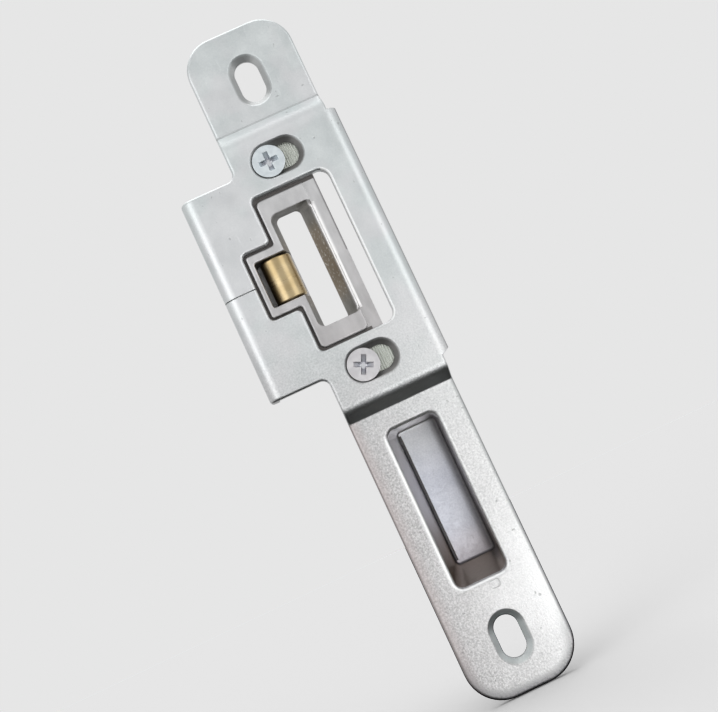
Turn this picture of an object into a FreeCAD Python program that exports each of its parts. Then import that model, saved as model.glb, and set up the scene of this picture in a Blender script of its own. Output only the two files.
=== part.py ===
import FreeCAD, Part
import math
import os
import re

import Sketcher

# Adjustable door strike: a pressed steel plate with a raised panel and a rolled lip, a die-cast latch
# keeper that slides in the panel's stepped cut-out, a brass roller on a pin, two clamping screws and a
# folded box behind the bolt opening. Millimetres. The plate stands upright as on a door frame: +Z up
# along its length, +X to the right seen from the front, and the front faces -Y. The origin is midway
# between the two mounting slots, on the plane of the end tabs' backs, which bears on the frame.

SIZES = [
    # The pressed plate
    ("sheet_thick", 2.0, "thickness of the pressed sheet"),
    ("panel_raise", 3.0, "how far the panel stands in front of the end tabs"),
    ("joggle_run", 2.8, "length of the sloping step between tab and panel"),
    ("bend_inside", 1.0, "inside radius of the step's bends"),
    ("tab_width", 25.0, "width of the end tabs"),
    ("slot_spacing", 135.0, "between the centres of the mounting slots"),
    ("top_margin", 12.5, "from the upper mounting slot's centre to the plate's top end"),
    ("foot_margin", 12.0, "from the lower mounting slot's centre to the plate's lower end"),
    ("tab_corner", 7.4, "corner radius of the top tab"),
    ("foot_corner", 8.5, "corner radius of the lower end"),
    ("slot_width", 5.6, "width of a mounting slot"),
    ("slot_length", 9.6, "end-to-end length of a mounting slot"),
    ("slot_sink", 1.4, "countersink of a mounting slot"),
    ("edge_round", 0.7, "rounding that the press leaves along the front edges"),
    # The raised panel, its lip and its folded edge
    ("panel_middle", 23.4, "height of the panel's middle above the origin"),
    ("upper_room", 9.95, "from the upper clamping screw's centre to the foot of the step above it"),
    ("lower_room", 10.55, "from the lower clamping screw's centre to the foot of the step below it"),
    ("edge_bend", 3.0, "outside radius of the lip's and the folded edge's bends"),
    ("fold_room", 5.25, "from a clamping screw's centre to the end of the folded right edge"),
    ("fold_slant", 1.1, "slope of the folded edge's lower end"),
    ("lip_reach", 25.9, "from the centreline to the lip's outer face"),
    ("lip_height", 48.2, "length of the lip"),
    ("lip_drop", 6.0, "from the panel's front to the lip's rear edge"),
    ("lip_corner", 1.8, "radius between the lip and the panel's edge"),
    ("slit_width", 0.2, "the slit that parts the lip in two"),
    # The stepped cut-out
    ("cutout_height", 36.9, "height of the cut-out"),
    ("cutout_left", 11.3, "from the centreline to its left edge"),
    ("cutout_right", 6.75, "from the centreline to its right edge"),
    ("cutout_corner", 2.4, "radius of its right corners"),
    ("notch_left", 18.3, "from the centreline to the roller notch's left edge"),
    ("notch_height", 15.8, "height of the roller notch"),
    ("notch_corner", 1.2, "radius of the left corners"),
    # The adjusting slots
    ("screw_web", 2.08, "metal between the cut-out and an adjusting slot's countersink"),
    ("screw_left", 4.05, "from the centreline to the screws"),
    ("adjust_travel", 4.2, "sideways travel of the keeper"),
    ("adjust_play", 0.05, "spare length of the slot at each end of the travel"),
    ("adjust_width", 5.6, "width of an adjusting slot"),
    ("adjust_sink", 1.42, "countersink of an adjusting slot"),
    # The bolt opening and its stake mark
    ("bolt_width", 12.0, "width of the bolt opening"),
    ("bolt_height", 37.4, "height of the bolt opening"),
    ("bolt_below", 35.4, "from the origin down to the opening's middle"),
    ("bolt_corner", 2.0, "corner radius of the opening"),
    ("bolt_edge", 1.0, "rounding of the opening's front edge"),
    ("stake_right", 1.8, "from the centreline to the stake mark's middle"),
    ("stake_width", 2.2, "width of the stake mark"),
    ("stake_height", 1.7, "height of the stake mark, below the rolled edge"),
    ("stake_deep", 0.5, "depth of the stake mark"),
    # The latch keeper
    ("side_gap", 0.55, "keeper to the cut-out at the sides of the housing and arms"),
    ("top_gap", 0.9, "boss to the cut-out's top edge"),
    ("low_gap", 0.6, "boss to the cut-out's lower edge"),
    ("boss_drop", 0.8, "boss front below the panel's front"),
    ("slide_gap", 0.1, "keeper's base to the panel's back"),
    ("base_thick", 5.3, "thickness of the keeper's base"),
    ("boss_right", 0.6, "from the centreline to the ends of the boss's arms"),
    ("boss_round", 0.4, "rounding of the boss's front edges"),
    ("bar_right", 3.63, "from the centreline to the bar's right edge"),
    ("ear_margin", 5.0, "from a screw's centre to the keeper's end"),
    ("under_lap", 0.9, "how far the base reaches under the panel past the cut-out"),
    ("ear_corner", 1.2, "corner radius of the ears"),
    ("arm_corner", 1.3, "corner radius of the boss's arms"),
    ("housing_corner", 0.6, "corner radius of the roller housing and its pocket"),
    ("window_left", 9.26, "from the centreline to the latch window's left edge"),
    ("window_right", 0.47, "from the centreline to its right edge at the bar"),
    ("window_height", 27.3, "height of the latch window"),
    ("window_corner", 1.8, "corner radius of the window at the front"),
    ("window_draft", 1.3, "how far the left wall leans in towards the back"),
    ("window_slope", 2.62, "how far the right wall slopes in towards the back"),
    ("rear_corner", 1.3, "corner radius of the window at the back"),
    ("bar_chamfer", 0.5, "bright chamfer on the bar along the window"),
    ("bar_dip", 0.2, "depth of that chamfer at the window's edge"),
    ("rib_pitch", 0.55, "pitch of the ears' serrations"),
    ("rib_deep", 0.25, "depth of the serrations"),
    ("rib_flat", 0.1, "flat crest between two serrations"),
    # The roller and its pin
    ("roller_dia", 7.1, "roller diameter"),
    ("roller_length", 10.1, "roller length"),
    ("roller_edge", 0.3, "chamfer of the roller's rims"),
    ("roller_proud", 0.88, "how far the roller stands into the window"),
    ("roller_drop", 0.15, "roller's front below the boss's front"),
    ("roller_gap", 0.3, "roller to the housing at each end"),
    ("roller_clear", 0.35, "roller to the housing's floor"),
    ("pocket_wall", 1.25, "thickness of the housing's left wall"),
    ("floor_thick", 1.0, "thickness of the housing's floor"),
    ("pin_dia", 2.0, "pin diameter"),
    ("pin_fit", 0.01, "pin to its holes in the housing, on the radius"),
    ("pin_short", 0.1, "pin's end below the base's side"),
    ("pin_edge", 0.2, "chamfer of the pin's ends"),
    ("roller_fit", 0.05, "roller to its pin, on the radius"),
    # The clamping screws
    ("head_dia", 7.3, "head diameter"),
    ("head_rim", 0.15, "straight rim of the head"),
    ("head_gap", 0.1, "head's cone to the slot's countersink"),
    ("shank_dia", 4.0, "thread diameter"),
    ("thread_fit", 0.01, "thread to its hole, on the radius"),
    ("screw_grip", 4.6, "how far the screw reaches into the ear"),
    ("tip_chamfer", 0.4, "chamfer of the screw's tip"),
    ("recess_span", 4.5, "width of the cross recess"),
    ("recess_arm", 1.15, "width of one arm of the cross"),
    ("recess_deep", 1.9, "depth of the cross recess"),
    ("tip_span", 1.5, "width of the cross at the recess's bottom"),
    ("tip_arm", 0.6, "width of one arm at the recess's bottom"),
    ("low_turn", 25.0, "how far the lower screw's cross is turned, degrees"),
    # The bolt box
    ("box_depth", 18.0, "from the plate's back to the box's floor"),
    ("box_wall", 1.0, "sheet of the box"),
    ("box_margin", 1.0, "how far the box's mouth stands outside the bolt opening"),
    ("box_lean_left", 4.1, "how far the left wall leans in at the floor"),
    ("box_lean_right", 0.1, "how far the right wall leans in at the floor"),
    ("box_lean_top", 1.85, "how far the top wall leans in at the floor"),
    ("box_lean_low", 4.0, "how far the lower wall leans in at the floor"),
    ("box_corner", 1.0, "corner radius of the box at its floor"),
    ("box_fold", 0.6, "inside radius where the walls fold into the floor"),
    ("seam_width", 0.5, "width of the seam between the left wall and the floor"),
    ("seam_deep", 0.7, "depth of the seam below the floor"),
]

ALIASES = [alias for alias, size, meaning in SIZES]
SHEET_NAME = "Sizes"

doc = FreeCAD.newDocument("door_strike")


def make_sheet():
    """The driving dimensions, one named cell each."""
    sheet = doc.addObject("Spreadsheet::Sheet", SHEET_NAME)
    for row, (alias, size, meaning) in enumerate(SIZES, start=1):
        sheet.set("A%d" % row, meaning)
        sheet.set("B%d" % row, str(size))
        sheet.setAlias("B%d" % row, alias)
    doc.recompute()
    return sheet


sizes = make_sheet()


def bound(text):
    """An expression written with bare size names, pointed at the sheet's cells."""
    return re.sub(r"[a-z_]+", lambda word: point_at_cell(word.group(0)), text)


def point_at_cell(word):
    if word in ALIASES:
        return SHEET_NAME + "." + word
    return word


def value(text):
    """What an expression comes to now."""
    return float(sizes.evalExpression(bound(text)))


# Shared places, as expressions of the sizes. Y runs back, so a front face has the lower value.
TAB_FRONT = "-sheet_thick"
PANEL_FRONT = "(-panel_raise - sheet_thick)"
PANEL_BACK = "(-panel_raise)"
TAB_HALF = "(tab_width / 2)"
PLATE_TOP = "(slot_spacing / 2 + top_margin)"
PLATE_LOW = "(-slot_spacing / 2 - foot_margin)"
MITRE = "(sheet_thick * (sqrt(panel_raise ^ 2 + joggle_run ^ 2) - joggle_run) / panel_raise)"
BEND_OUTSIDE = "(bend_inside + sheet_thick)"
SCREW_OFF = "(cutout_height / 2 + screw_web + adjust_sink + adjust_width / 2)"
SCREW_TOP = "(panel_middle + " + SCREW_OFF + ")"
SCREW_LOW = "(panel_middle - " + SCREW_OFF + ")"
SCREW_X = "(-screw_left)"
FOLD_HALF = "(" + SCREW_OFF + " + fold_room)"
FOLD_LOW = "(panel_middle - " + FOLD_HALF + ")"
FOLD_TOP = "(panel_middle + " + FOLD_HALF + ")"
FOLD_REACH = "(tab_width / 2 + sheet_thick)"
LIP_LOW = "(panel_middle - lip_height / 2)"
LIP_TOP = "(panel_middle + lip_height / 2)"
LIP_BACK = "(lip_drop - panel_raise - sheet_thick)"
CUTOUT_TOP = "(panel_middle + cutout_height / 2)"
CUTOUT_LOW = "(panel_middle - cutout_height / 2)"
BOSS_FRONT = "(boss_drop - panel_raise - sheet_thick)"
BASE_FRONT = "(slide_gap - panel_raise)"
BASE_BACK = "(slide_gap - panel_raise + base_thick)"
BOSS_TOP = "(panel_middle + cutout_height / 2 - top_gap)"
BOSS_LOW = "(panel_middle - cutout_height / 2 + low_gap)"
ARM_LEFT = "(side_gap - cutout_left)"
HOUSING_LEFT = "(side_gap - notch_left)"
LAP_TALL = "(notch_height + 2 * under_lap)"
HOUSING_TOP = "(panel_middle + notch_height / 2 - side_gap)"
HOUSING_LOW = "(panel_middle - notch_height / 2 + side_gap)"
WINDOW_TOP = "(panel_middle + window_height / 2)"
WINDOW_LOW = "(panel_middle - window_height / 2)"
ROLLER_X = "(roller_proud - window_left - roller_dia / 2)"
ROLLER_Y = "(boss_drop - panel_raise - sheet_thick + roller_drop + roller_dia / 2)"
POCKET_FLOOR = "(boss_drop - panel_raise - sheet_thick + roller_drop + roller_dia + roller_clear)"
HEAD_SINK = "(adjust_width / 2 + adjust_sink - head_dia / 2 - head_gap * sqrt(2) - head_rim)"
HEAD_FRONT = "(-panel_raise - sheet_thick + " + HEAD_SINK + ")"
BOLT_TOP = "(bolt_height / 2 - bolt_below)"
BOLT_LOW = "(-bolt_height / 2 - bolt_below)"


def start_body(label):
    body = doc.addObject("PartDesign::Body", label)
    body.Label = label
    return body


def place_of(role, body):
    """One of the body's own origin planes or axes."""
    return next(part for part in body.Origin.OriginFeatures if part.Role == role)


def start_sketch(body, name, plane, at):
    """A sketch on the body's XZ, YZ or XY plane, moved to a place along that plane's axis."""
    sketch = body.newObject("Sketcher::SketchObject", name)
    sketch.AttachmentSupport = [(place_of(plane + "_Plane", body), "")]
    sketch.MapMode = "FlatFace"
    # The XZ plane's normal points at -Y, to the front.
    offset = "-(" + at + ")" if plane == "XZ" else at
    sketch.setExpression("AttachmentOffset.Base.z", bound(offset))
    return sketch


def pin_point(sketch, shape, end, across, along):
    """Hold a point of the sketch at two expressions."""
    for kind, text in (("DistanceX", across), ("DistanceY", along)):
        held = Sketcher.Constraint(kind, -1, 1, shape, end, value(text))
        index = sketch.addConstraint(held)
        sketch.setExpression("Constraints[%d]" % index, bound(text))


def hold_radius(sketch, shape, text):
    index = sketch.addConstraint(Sketcher.Constraint("Radius", shape, value(text)))
    sketch.setExpression("Constraints[%d]" % index, bound(text))


def draw_arc(sketch, centre, start, end):
    """The short arc from start to end; says whether it runs clockwise."""
    from_start = start - centre
    to_end = end - centre
    clockwise = from_start.cross(to_end).z < 0
    first, last = (to_end, from_start) if clockwise else (from_start, to_end)
    circle = Part.Circle(centre, FreeCAD.Vector(0, 0, 1), from_start.Length)
    first_angle = math.atan2(first.y, first.x)
    last_angle = math.atan2(last.y, last.x)
    return sketch.addGeometry(Part.ArcOfCircle(circle, first_angle, last_angle)), clockwise


def draw_loop(sketch, corners):
    """A closed outline. Each corner is (across, along) or (across, along, radius), all expressions."""
    points = [FreeCAD.Vector(value(corner[0]), value(corner[1]), 0) for corner in corners]
    count = len(corners)
    leave = []
    arrive = []
    arcs = []
    for index, corner in enumerate(corners):
        point = points[index]
        if len(corner) == 2:
            arrive.append(point)
            leave.append(point)
            arcs.append(None)
            continue
        radius = value(corner[2])
        back = (points[index - 1] - point).normalize()
        ahead = (points[(index + 1) % count] - point).normalize()
        half = back.getAngle(ahead) / 2
        arrive.append(point + back * (radius / math.tan(half)))
        leave.append(point + ahead * (radius / math.tan(half)))
        bisector = (back + ahead).normalize()
        arcs.append(point + bisector * (radius / math.sin(half)))
    lines = []
    for index in range(count):
        run = Part.LineSegment(leave[index], arrive[(index + 1) % count])
        lines.append(sketch.addGeometry(run))
    for index, corner in enumerate(corners):
        before = lines[index - 1]
        after = lines[index]
        if arcs[index] is None:
            sketch.addConstraint(Sketcher.Constraint("Coincident", before, 2, after, 1))
            pin_point(sketch, after, 1, corner[0], corner[1])
            continue
        arc, clockwise = draw_arc(sketch, arcs[index], arrive[index], leave[index])
        first, last = (2, 1) if clockwise else (1, 2)
        sketch.addConstraint(Sketcher.Constraint("Tangent", before, 2, arc, first))
        sketch.addConstraint(Sketcher.Constraint("Tangent", arc, last, after, 1))
        hold_radius(sketch, arc, corner[2])
        tip = sketch.addGeometry(Part.Point(points[index]), True)
        pin_point(sketch, tip, 1, corner[0], corner[1])
        sketch.addConstraint(Sketcher.Constraint("PointOnObject", tip, 1, before))
        sketch.addConstraint(Sketcher.Constraint("PointOnObject", tip, 1, after))


def draw_slot(sketch, first, second, radius):
    """A round-ended slot between two centres, each (across, along)."""
    start = FreeCAD.Vector(value(first[0]), value(first[1]), 0)
    end = FreeCAD.Vector(value(second[0]), value(second[1]), 0)
    size = value(radius)
    ahead = (end - start).normalize()
    side = FreeCAD.Vector(-ahead.y, ahead.x, 0) * size
    turn = math.atan2(ahead.y, ahead.x)
    quarter = math.pi / 2
    normal = FreeCAD.Vector(0, 0, 1)
    near = Part.ArcOfCircle(Part.Circle(start, normal, size), turn + quarter, turn + 3 * quarter)
    far = Part.ArcOfCircle(Part.Circle(end, normal, size), turn - quarter, turn + quarter)
    near_arc = sketch.addGeometry(near)
    right_line = sketch.addGeometry(Part.LineSegment(start - side, end - side))
    far_arc = sketch.addGeometry(far)
    left_line = sketch.addGeometry(Part.LineSegment(end + side, start + side))
    ring = [near_arc, right_line, far_arc, left_line]
    for index, piece in enumerate(ring):
        following = ring[(index + 1) % len(ring)]
        sketch.addConstraint(Sketcher.Constraint("Tangent", piece, 2, following, 1))
    sketch.addConstraint(Sketcher.Constraint("Equal", near_arc, far_arc))
    pin_point(sketch, near_arc, 3, first[0], first[1])
    pin_point(sketch, far_arc, 3, second[0], second[1])
    hold_radius(sketch, near_arc, radius)


def draw_circle(sketch, across, along, radius):
    centre = FreeCAD.Vector(value(across), value(along), 0)
    circle = sketch.addGeometry(Part.Circle(centre, FreeCAD.Vector(0, 0, 1), value(radius)))
    pin_point(sketch, circle, 3, across, along)
    hold_radius(sketch, circle, radius)


def pad(body, name, sketch, length, towards_normal=True):
    feature = body.newObject("PartDesign::Pad", name)
    feature.Profile = sketch
    feature.setExpression("Length", bound(length))
    feature.Reversed = not towards_normal
    doc.recompute()
    return feature


def pocket(body, name, sketch, length, towards_normal=False, both_ways=False):
    """A cut of a stated length; it has to take something away."""
    before = body.Shape.Volume
    feature = body.newObject("PartDesign::Pocket", name)
    feature.Profile = sketch
    feature.setExpression("Length", bound(length))
    feature.Reversed = towards_normal
    feature.Midplane = both_ways
    doc.recompute()
    if body.Shape.Volume >= before:
        raise RuntimeError(name + " cut nothing")
    return feature


def dress(body, kind, name, edges, amount_property, amount):
    """A fillet or chamfer on edges of the body as it stands."""
    base = body.Tip
    feature = body.newObject("PartDesign::" + kind, name)
    feature.Base = (base, edges)
    feature.setExpression(amount_property, bound(amount))
    doc.recompute()
    return feature


def edges_in(body, low, high):
    """Names of the edges that lie inside a box, given as numbers."""
    slack = 1e-4
    names = []
    for index, edge in enumerate(body.Shape.Edges, start=1):
        box = edge.BoundBox
        ends = ((box.XMin, box.XMax), (box.YMin, box.YMax), (box.ZMin, box.ZMax))
        inside = all(
            least >= low[axis] - slack and most <= high[axis] + slack
            for axis, (least, most) in enumerate(ends)
        )
        if inside:
            names.append("Edge%d" % index)
    if not names:
        raise RuntimeError("no edge found in the box")
    return names


def make_plate_ends():
    """The two end tabs, each with the sloping step that leads up to the panel's level."""
    body = start_body("plate_ends")
    step_sketch = start_sketch(body, "step_profiles", "YZ", "-" + TAB_HALF)
    for sign, room, tab_end, panel_end in (
        ("+", "upper_room", PLATE_TOP, FOLD_TOP), ("-", "lower_room", PLATE_LOW, FOLD_LOW),
    ):
        reach = "(" + SCREW_OFF + " + " + room + ")"
        foot = "panel_middle " + sign + reach
        head = "panel_middle " + sign + " (" + reach + " - joggle_run)"
        rear_foot = "panel_middle " + sign + " (" + reach + " - " + MITRE + ")"
        rear_head = "panel_middle " + sign + " (" + reach + " - joggle_run - " + MITRE + ")"
        draw_loop(step_sketch, [
            (TAB_FRONT, tab_end),
            (TAB_FRONT, foot, "bend_inside"),
            (PANEL_FRONT, head, BEND_OUTSIDE),
            (PANEL_FRONT, panel_end),
            (PANEL_BACK, panel_end),
            (PANEL_BACK, rear_head, "bend_inside"),
            ("0", rear_foot, BEND_OUTSIDE),
            ("0", tab_end),
        ])
    pad(body, "stepped_ends", step_sketch, "tab_width")

    # Rounded corners of the two ends, and the press's rounding along their front edges.
    half = value(TAB_HALF)
    tab_front = value(TAB_FRONT)
    for end, corner_start, name, radius in (
        (PLATE_TOP, PLATE_TOP + " - tab_corner", "tab_corners", "tab_corner"),
        (PLATE_LOW, PLATE_LOW + " + foot_corner", "foot_corners", "foot_corner"),
    ):
        height = value(end)
        corners = edges_in(body, (-half, tab_front, height), (-half, 0, height))
        corners += edges_in(body, (half, tab_front, height), (half, 0, height))
        dress(body, "Fillet", name, corners, "Radius", radius)
        low, high = sorted((height, value(corner_start)))
        rim = edges_in(body, (-half, tab_front, low), (half, tab_front, high))
        dress(body, "Fillet", name + "_rim", rim, "Radius", "edge_round")
    return body


def make_frame_plate():
    """The pressed plate: a raised panel with a lip and a folded edge, between two stepped-back ends."""
    body = start_body("frame_plate")
    half = value(TAB_HALF)
    front = value(PANEL_FRONT)
    tab_front = value(TAB_FRONT)

    # Seen from above, the panel turns back into the lip on the left and the folded edge on the right.
    panel_sketch = start_sketch(body, "panel_section", "XY", FOLD_LOW)
    draw_loop(panel_sketch, [
        ("-lip_reach", LIP_BACK),
        ("-lip_reach", PANEL_FRONT, "edge_bend"),
        (FOLD_REACH, PANEL_FRONT, "edge_bend"),
        (FOLD_REACH, "0"),
        (TAB_HALF, "0"),
        (TAB_HALF, PANEL_BACK, "edge_bend - sheet_thick"),
        ("sheet_thick - lip_reach", PANEL_BACK, "edge_bend - sheet_thick"),
        ("sheet_thick - lip_reach", LIP_BACK),
    ])
    pad(body, "panel", panel_sketch, "2 * " + FOLD_HALF)

    # The lip is shorter than the panel, so the panel's left edge steps in above and below it.
    outside = "(-2 * lip_reach)"
    through = "2 * (lip_drop + panel_raise + sheet_thick)"
    for lip_end, fold_end, name in (
        (LIP_TOP, FOLD_TOP + " + lip_corner", "upper_left_trim"),
        (LIP_LOW, FOLD_LOW + " - lip_corner", "lower_left_trim"),
    ):
        trim = start_sketch(body, name + "_outline", "XZ", PANEL_FRONT)
        draw_loop(trim, [
            ("-" + TAB_HALF, fold_end),
            ("-" + TAB_HALF, lip_end, "lip_corner"),
            (outside, lip_end),
            (outside, fold_end),
        ])
        pocket(body, name, trim, through)

    # The folded edge's lower end slopes away from the tab.
    slant = start_sketch(body, "fold_slant_outline", "XZ", PANEL_FRONT)
    draw_loop(slant, [
        (TAB_HALF, FOLD_LOW),
        (TAB_HALF + " + 2 * sheet_thick", FOLD_LOW + " + 2 * fold_slant"),
        (TAB_HALF + " + 2 * sheet_thick", FOLD_LOW + " - fold_slant"),
        (TAB_HALF, FOLD_LOW + " - fold_slant"),
    ])
    pocket(body, "fold_end", slant, through)

    # The press's rounding along the lip's ends, and then the two stepped ends.
    for lip_end, name in ((LIP_TOP, "lip_top_rim"), (LIP_LOW, "lip_low_rim")):
        height = value(lip_end)
        rim = edges_in(body, (value("-lip_reach"), front, height), (-half, front, height))
        dress(body, "Fillet", name, rim, "Radius", "edge_round")
    ends = make_plate_ends()
    joined = body.newObject("PartDesign::Boolean", "stepped_ends_joined")
    joined.setObjects([ends])
    joined.Type = "Fuse"
    doc.recompute()

    # The stepped cut-out for the keeper.
    cutout = start_sketch(body, "cutout_outline", "XZ", PANEL_FRONT)
    notch_top = "panel_middle + notch_height / 2"
    notch_low = "panel_middle - notch_height / 2"
    draw_loop(cutout, [
        ("cutout_right", CUTOUT_TOP, "cutout_corner"),
        ("-cutout_left", CUTOUT_TOP, "notch_corner"),
        ("-cutout_left", notch_top, "notch_corner"),
        ("-notch_left", notch_top, "notch_corner"),
        ("-notch_left", notch_low, "notch_corner"),
        ("-cutout_left", notch_low, "notch_corner"),
        ("-cutout_left", CUTOUT_LOW, "notch_corner"),
        ("cutout_right", CUTOUT_LOW, "cutout_corner"),
    ])
    pocket(body, "cutout", cutout, through)
    brim = edges_in(
        body,
        (value("-notch_left"), front, value(CUTOUT_LOW)),
        (value("cutout_right"), front, value(CUTOUT_TOP)),
    )
    dress(body, "Fillet", "cutout_brim", brim, "Radius", "edge_round")

    # The slit across the lip, from the roller notch to the lip's outer face.
    slit = start_sketch(body, "slit_outline", "XZ", PANEL_FRONT)
    draw_loop(slit, [
        ("-notch_left + slit_width", "panel_middle + slit_width / 2"),
        (outside, "panel_middle + slit_width / 2"),
        (outside, "panel_middle - slit_width / 2"),
        ("-notch_left + slit_width", "panel_middle - slit_width / 2"),
    ])
    pocket(body, "slit", slit, through)

    # Countersunk mounting slots along the plate and adjusting slots across it.
    reach = "(slot_length - slot_width) / 2"
    for sign, name in (("", "upper_mount_slot"), ("-", "lower_mount_slot")):
        middle = sign + "slot_spacing / 2"
        slot = start_sketch(body, name + "_outline", "XZ", PANEL_FRONT)
        draw_slot(slot, ("0", middle + " - " + reach), ("0", middle + " + " + reach), "slot_width / 2")
        pocket(body, name, slot, through)
        centre = value(middle)
        span = value("slot_length / 2")
        mouth = edges_in(body, (-span, tab_front, centre - span), (span, tab_front, centre + span))
        dress(body, "Chamfer", name + "_sink", mouth, "Size", "slot_sink")
    for middle, name in ((SCREW_TOP, "upper_adjust_slot"), (SCREW_LOW, "lower_adjust_slot")):
        slot = start_sketch(body, name + "_outline", "XZ", PANEL_FRONT)
        left_centre = SCREW_X + " - adjust_play"
        right_centre = SCREW_X + " + adjust_travel + adjust_play"
        draw_slot(slot, (left_centre, middle), (right_centre, middle), "adjust_width / 2")
        pocket(body, name, slot, through)
        height = value(middle)
        half_width = value("adjust_width / 2")
        mouth = edges_in(
            body,
            (value(left_centre) - half_width, front, height - half_width),
            (value(right_centre) + half_width, front, height + half_width),
        )
        dress(body, "Chamfer", name + "_sink", mouth, "Size", "adjust_sink")

    # The bolt opening with its rolled-in front edge, and the stake mark below it.
    bolt = start_sketch(body, "bolt_outline", "XZ", PANEL_FRONT)
    draw_loop(bolt, bolt_corners("0", "0", "0", "0", "bolt_corner"))
    pocket(body, "bolt_opening", bolt, through)
    wide = value("bolt_width / 2")
    rim = edges_in(body, (-wide, tab_front, value(BOLT_LOW)), (wide, tab_front, value(BOLT_TOP)))
    dress(body, "Fillet", "bolt_rim", rim, "Radius", "bolt_edge")
    stake = start_sketch(body, "stake_outline", "XZ", TAB_FRONT)
    stake_top = BOLT_LOW + " - bolt_edge"
    stake_low = stake_top + " - stake_height"
    draw_loop(stake, [
        ("stake_right - stake_width / 2", stake_top, "stake_width / 5"),
        ("stake_right - stake_width / 2", stake_low, "stake_width / 3"),
        ("stake_right + stake_width / 2", stake_low, "stake_width / 3"),
        ("stake_right + stake_width / 2", stake_top, "stake_width / 5"),
    ])
    pocket(body, "stake_mark", stake, "stake_deep")
    return body


def bolt_corners(left, right, top, low, radius):
    """The bolt opening's outline, drawn in from each side by an expression."""
    return [
        ("bolt_width / 2 - (" + right + ")", BOLT_TOP + " - (" + top + ")", radius),
        ("-bolt_width / 2 + " + left, BOLT_TOP + " - (" + top + ")", radius),
        ("-bolt_width / 2 + " + left, BOLT_LOW + " + " + low, radius),
        ("bolt_width / 2 - (" + right + ")", BOLT_LOW + " + " + low, radius),
    ]


def make_bolt_box():
    """The folded box behind the bolt opening, with a leaning left wall and a seam beside it."""
    body = start_body("bolt_box")
    wall = "(-box_margin - box_wall)"
    mouth = start_sketch(body, "box_mouth", "XZ", "0")
    draw_loop(mouth, bolt_corners(wall, wall, wall, wall, "bolt_corner + box_margin + box_wall"))
    base = start_sketch(body, "box_base", "XZ", "box_depth + box_wall")
    draw_loop(base, bolt_corners(
        "box_lean_left + " + wall, "box_lean_right + " + wall,
        "box_lean_top + " + wall, "box_lean_low + " + wall, "box_corner + box_wall",
    ))
    shell = body.newObject("PartDesign::AdditiveLoft", "box_shell")
    shell.Profile = mouth
    shell.Sections = [base]
    doc.recompute()

    inner_mouth = start_sketch(body, "hollow_mouth", "XZ", "0")
    edge = "(-box_margin)"
    draw_loop(inner_mouth, bolt_corners(edge, edge, edge, edge, "bolt_corner + box_margin"))
    inner_floor = start_sketch(body, "hollow_floor", "XZ", "box_depth")
    draw_loop(inner_floor, bolt_corners(
        "box_lean_left - box_margin", "box_lean_right - box_margin",
        "box_lean_top - box_margin", "box_lean_low - box_margin", "box_corner",
    ))
    hollow = body.newObject("PartDesign::SubtractiveLoft", "box_hollow")
    hollow.Profile = inner_mouth
    hollow.Sections = [inner_floor]
    doc.recompute()

    floor = value("box_depth")
    far = value("bolt_below + bolt_height")
    folds = edges_in(body, (-far, floor, -far), (far, floor, far))
    dress(body, "Fillet", "box_folds", folds, "Radius", "box_fold")

    seam_left = "box_lean_left - box_margin - bolt_width / 2 + box_fold / 3"
    seam_top = BOLT_TOP + " + box_margin - box_lean_top - box_corner"
    seam_low = BOLT_LOW + " - box_margin + box_lean_low + box_corner"
    seam = start_sketch(body, "seam_outline", "XZ", "box_depth - box_fold")
    draw_loop(seam, [
        (seam_left, seam_top),
        (seam_left, seam_low),
        (seam_left + " + seam_width", seam_low),
        (seam_left + " + seam_width", seam_top),
    ])
    pocket(body, "seam", seam, "box_fold + seam_deep")
    return body


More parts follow.
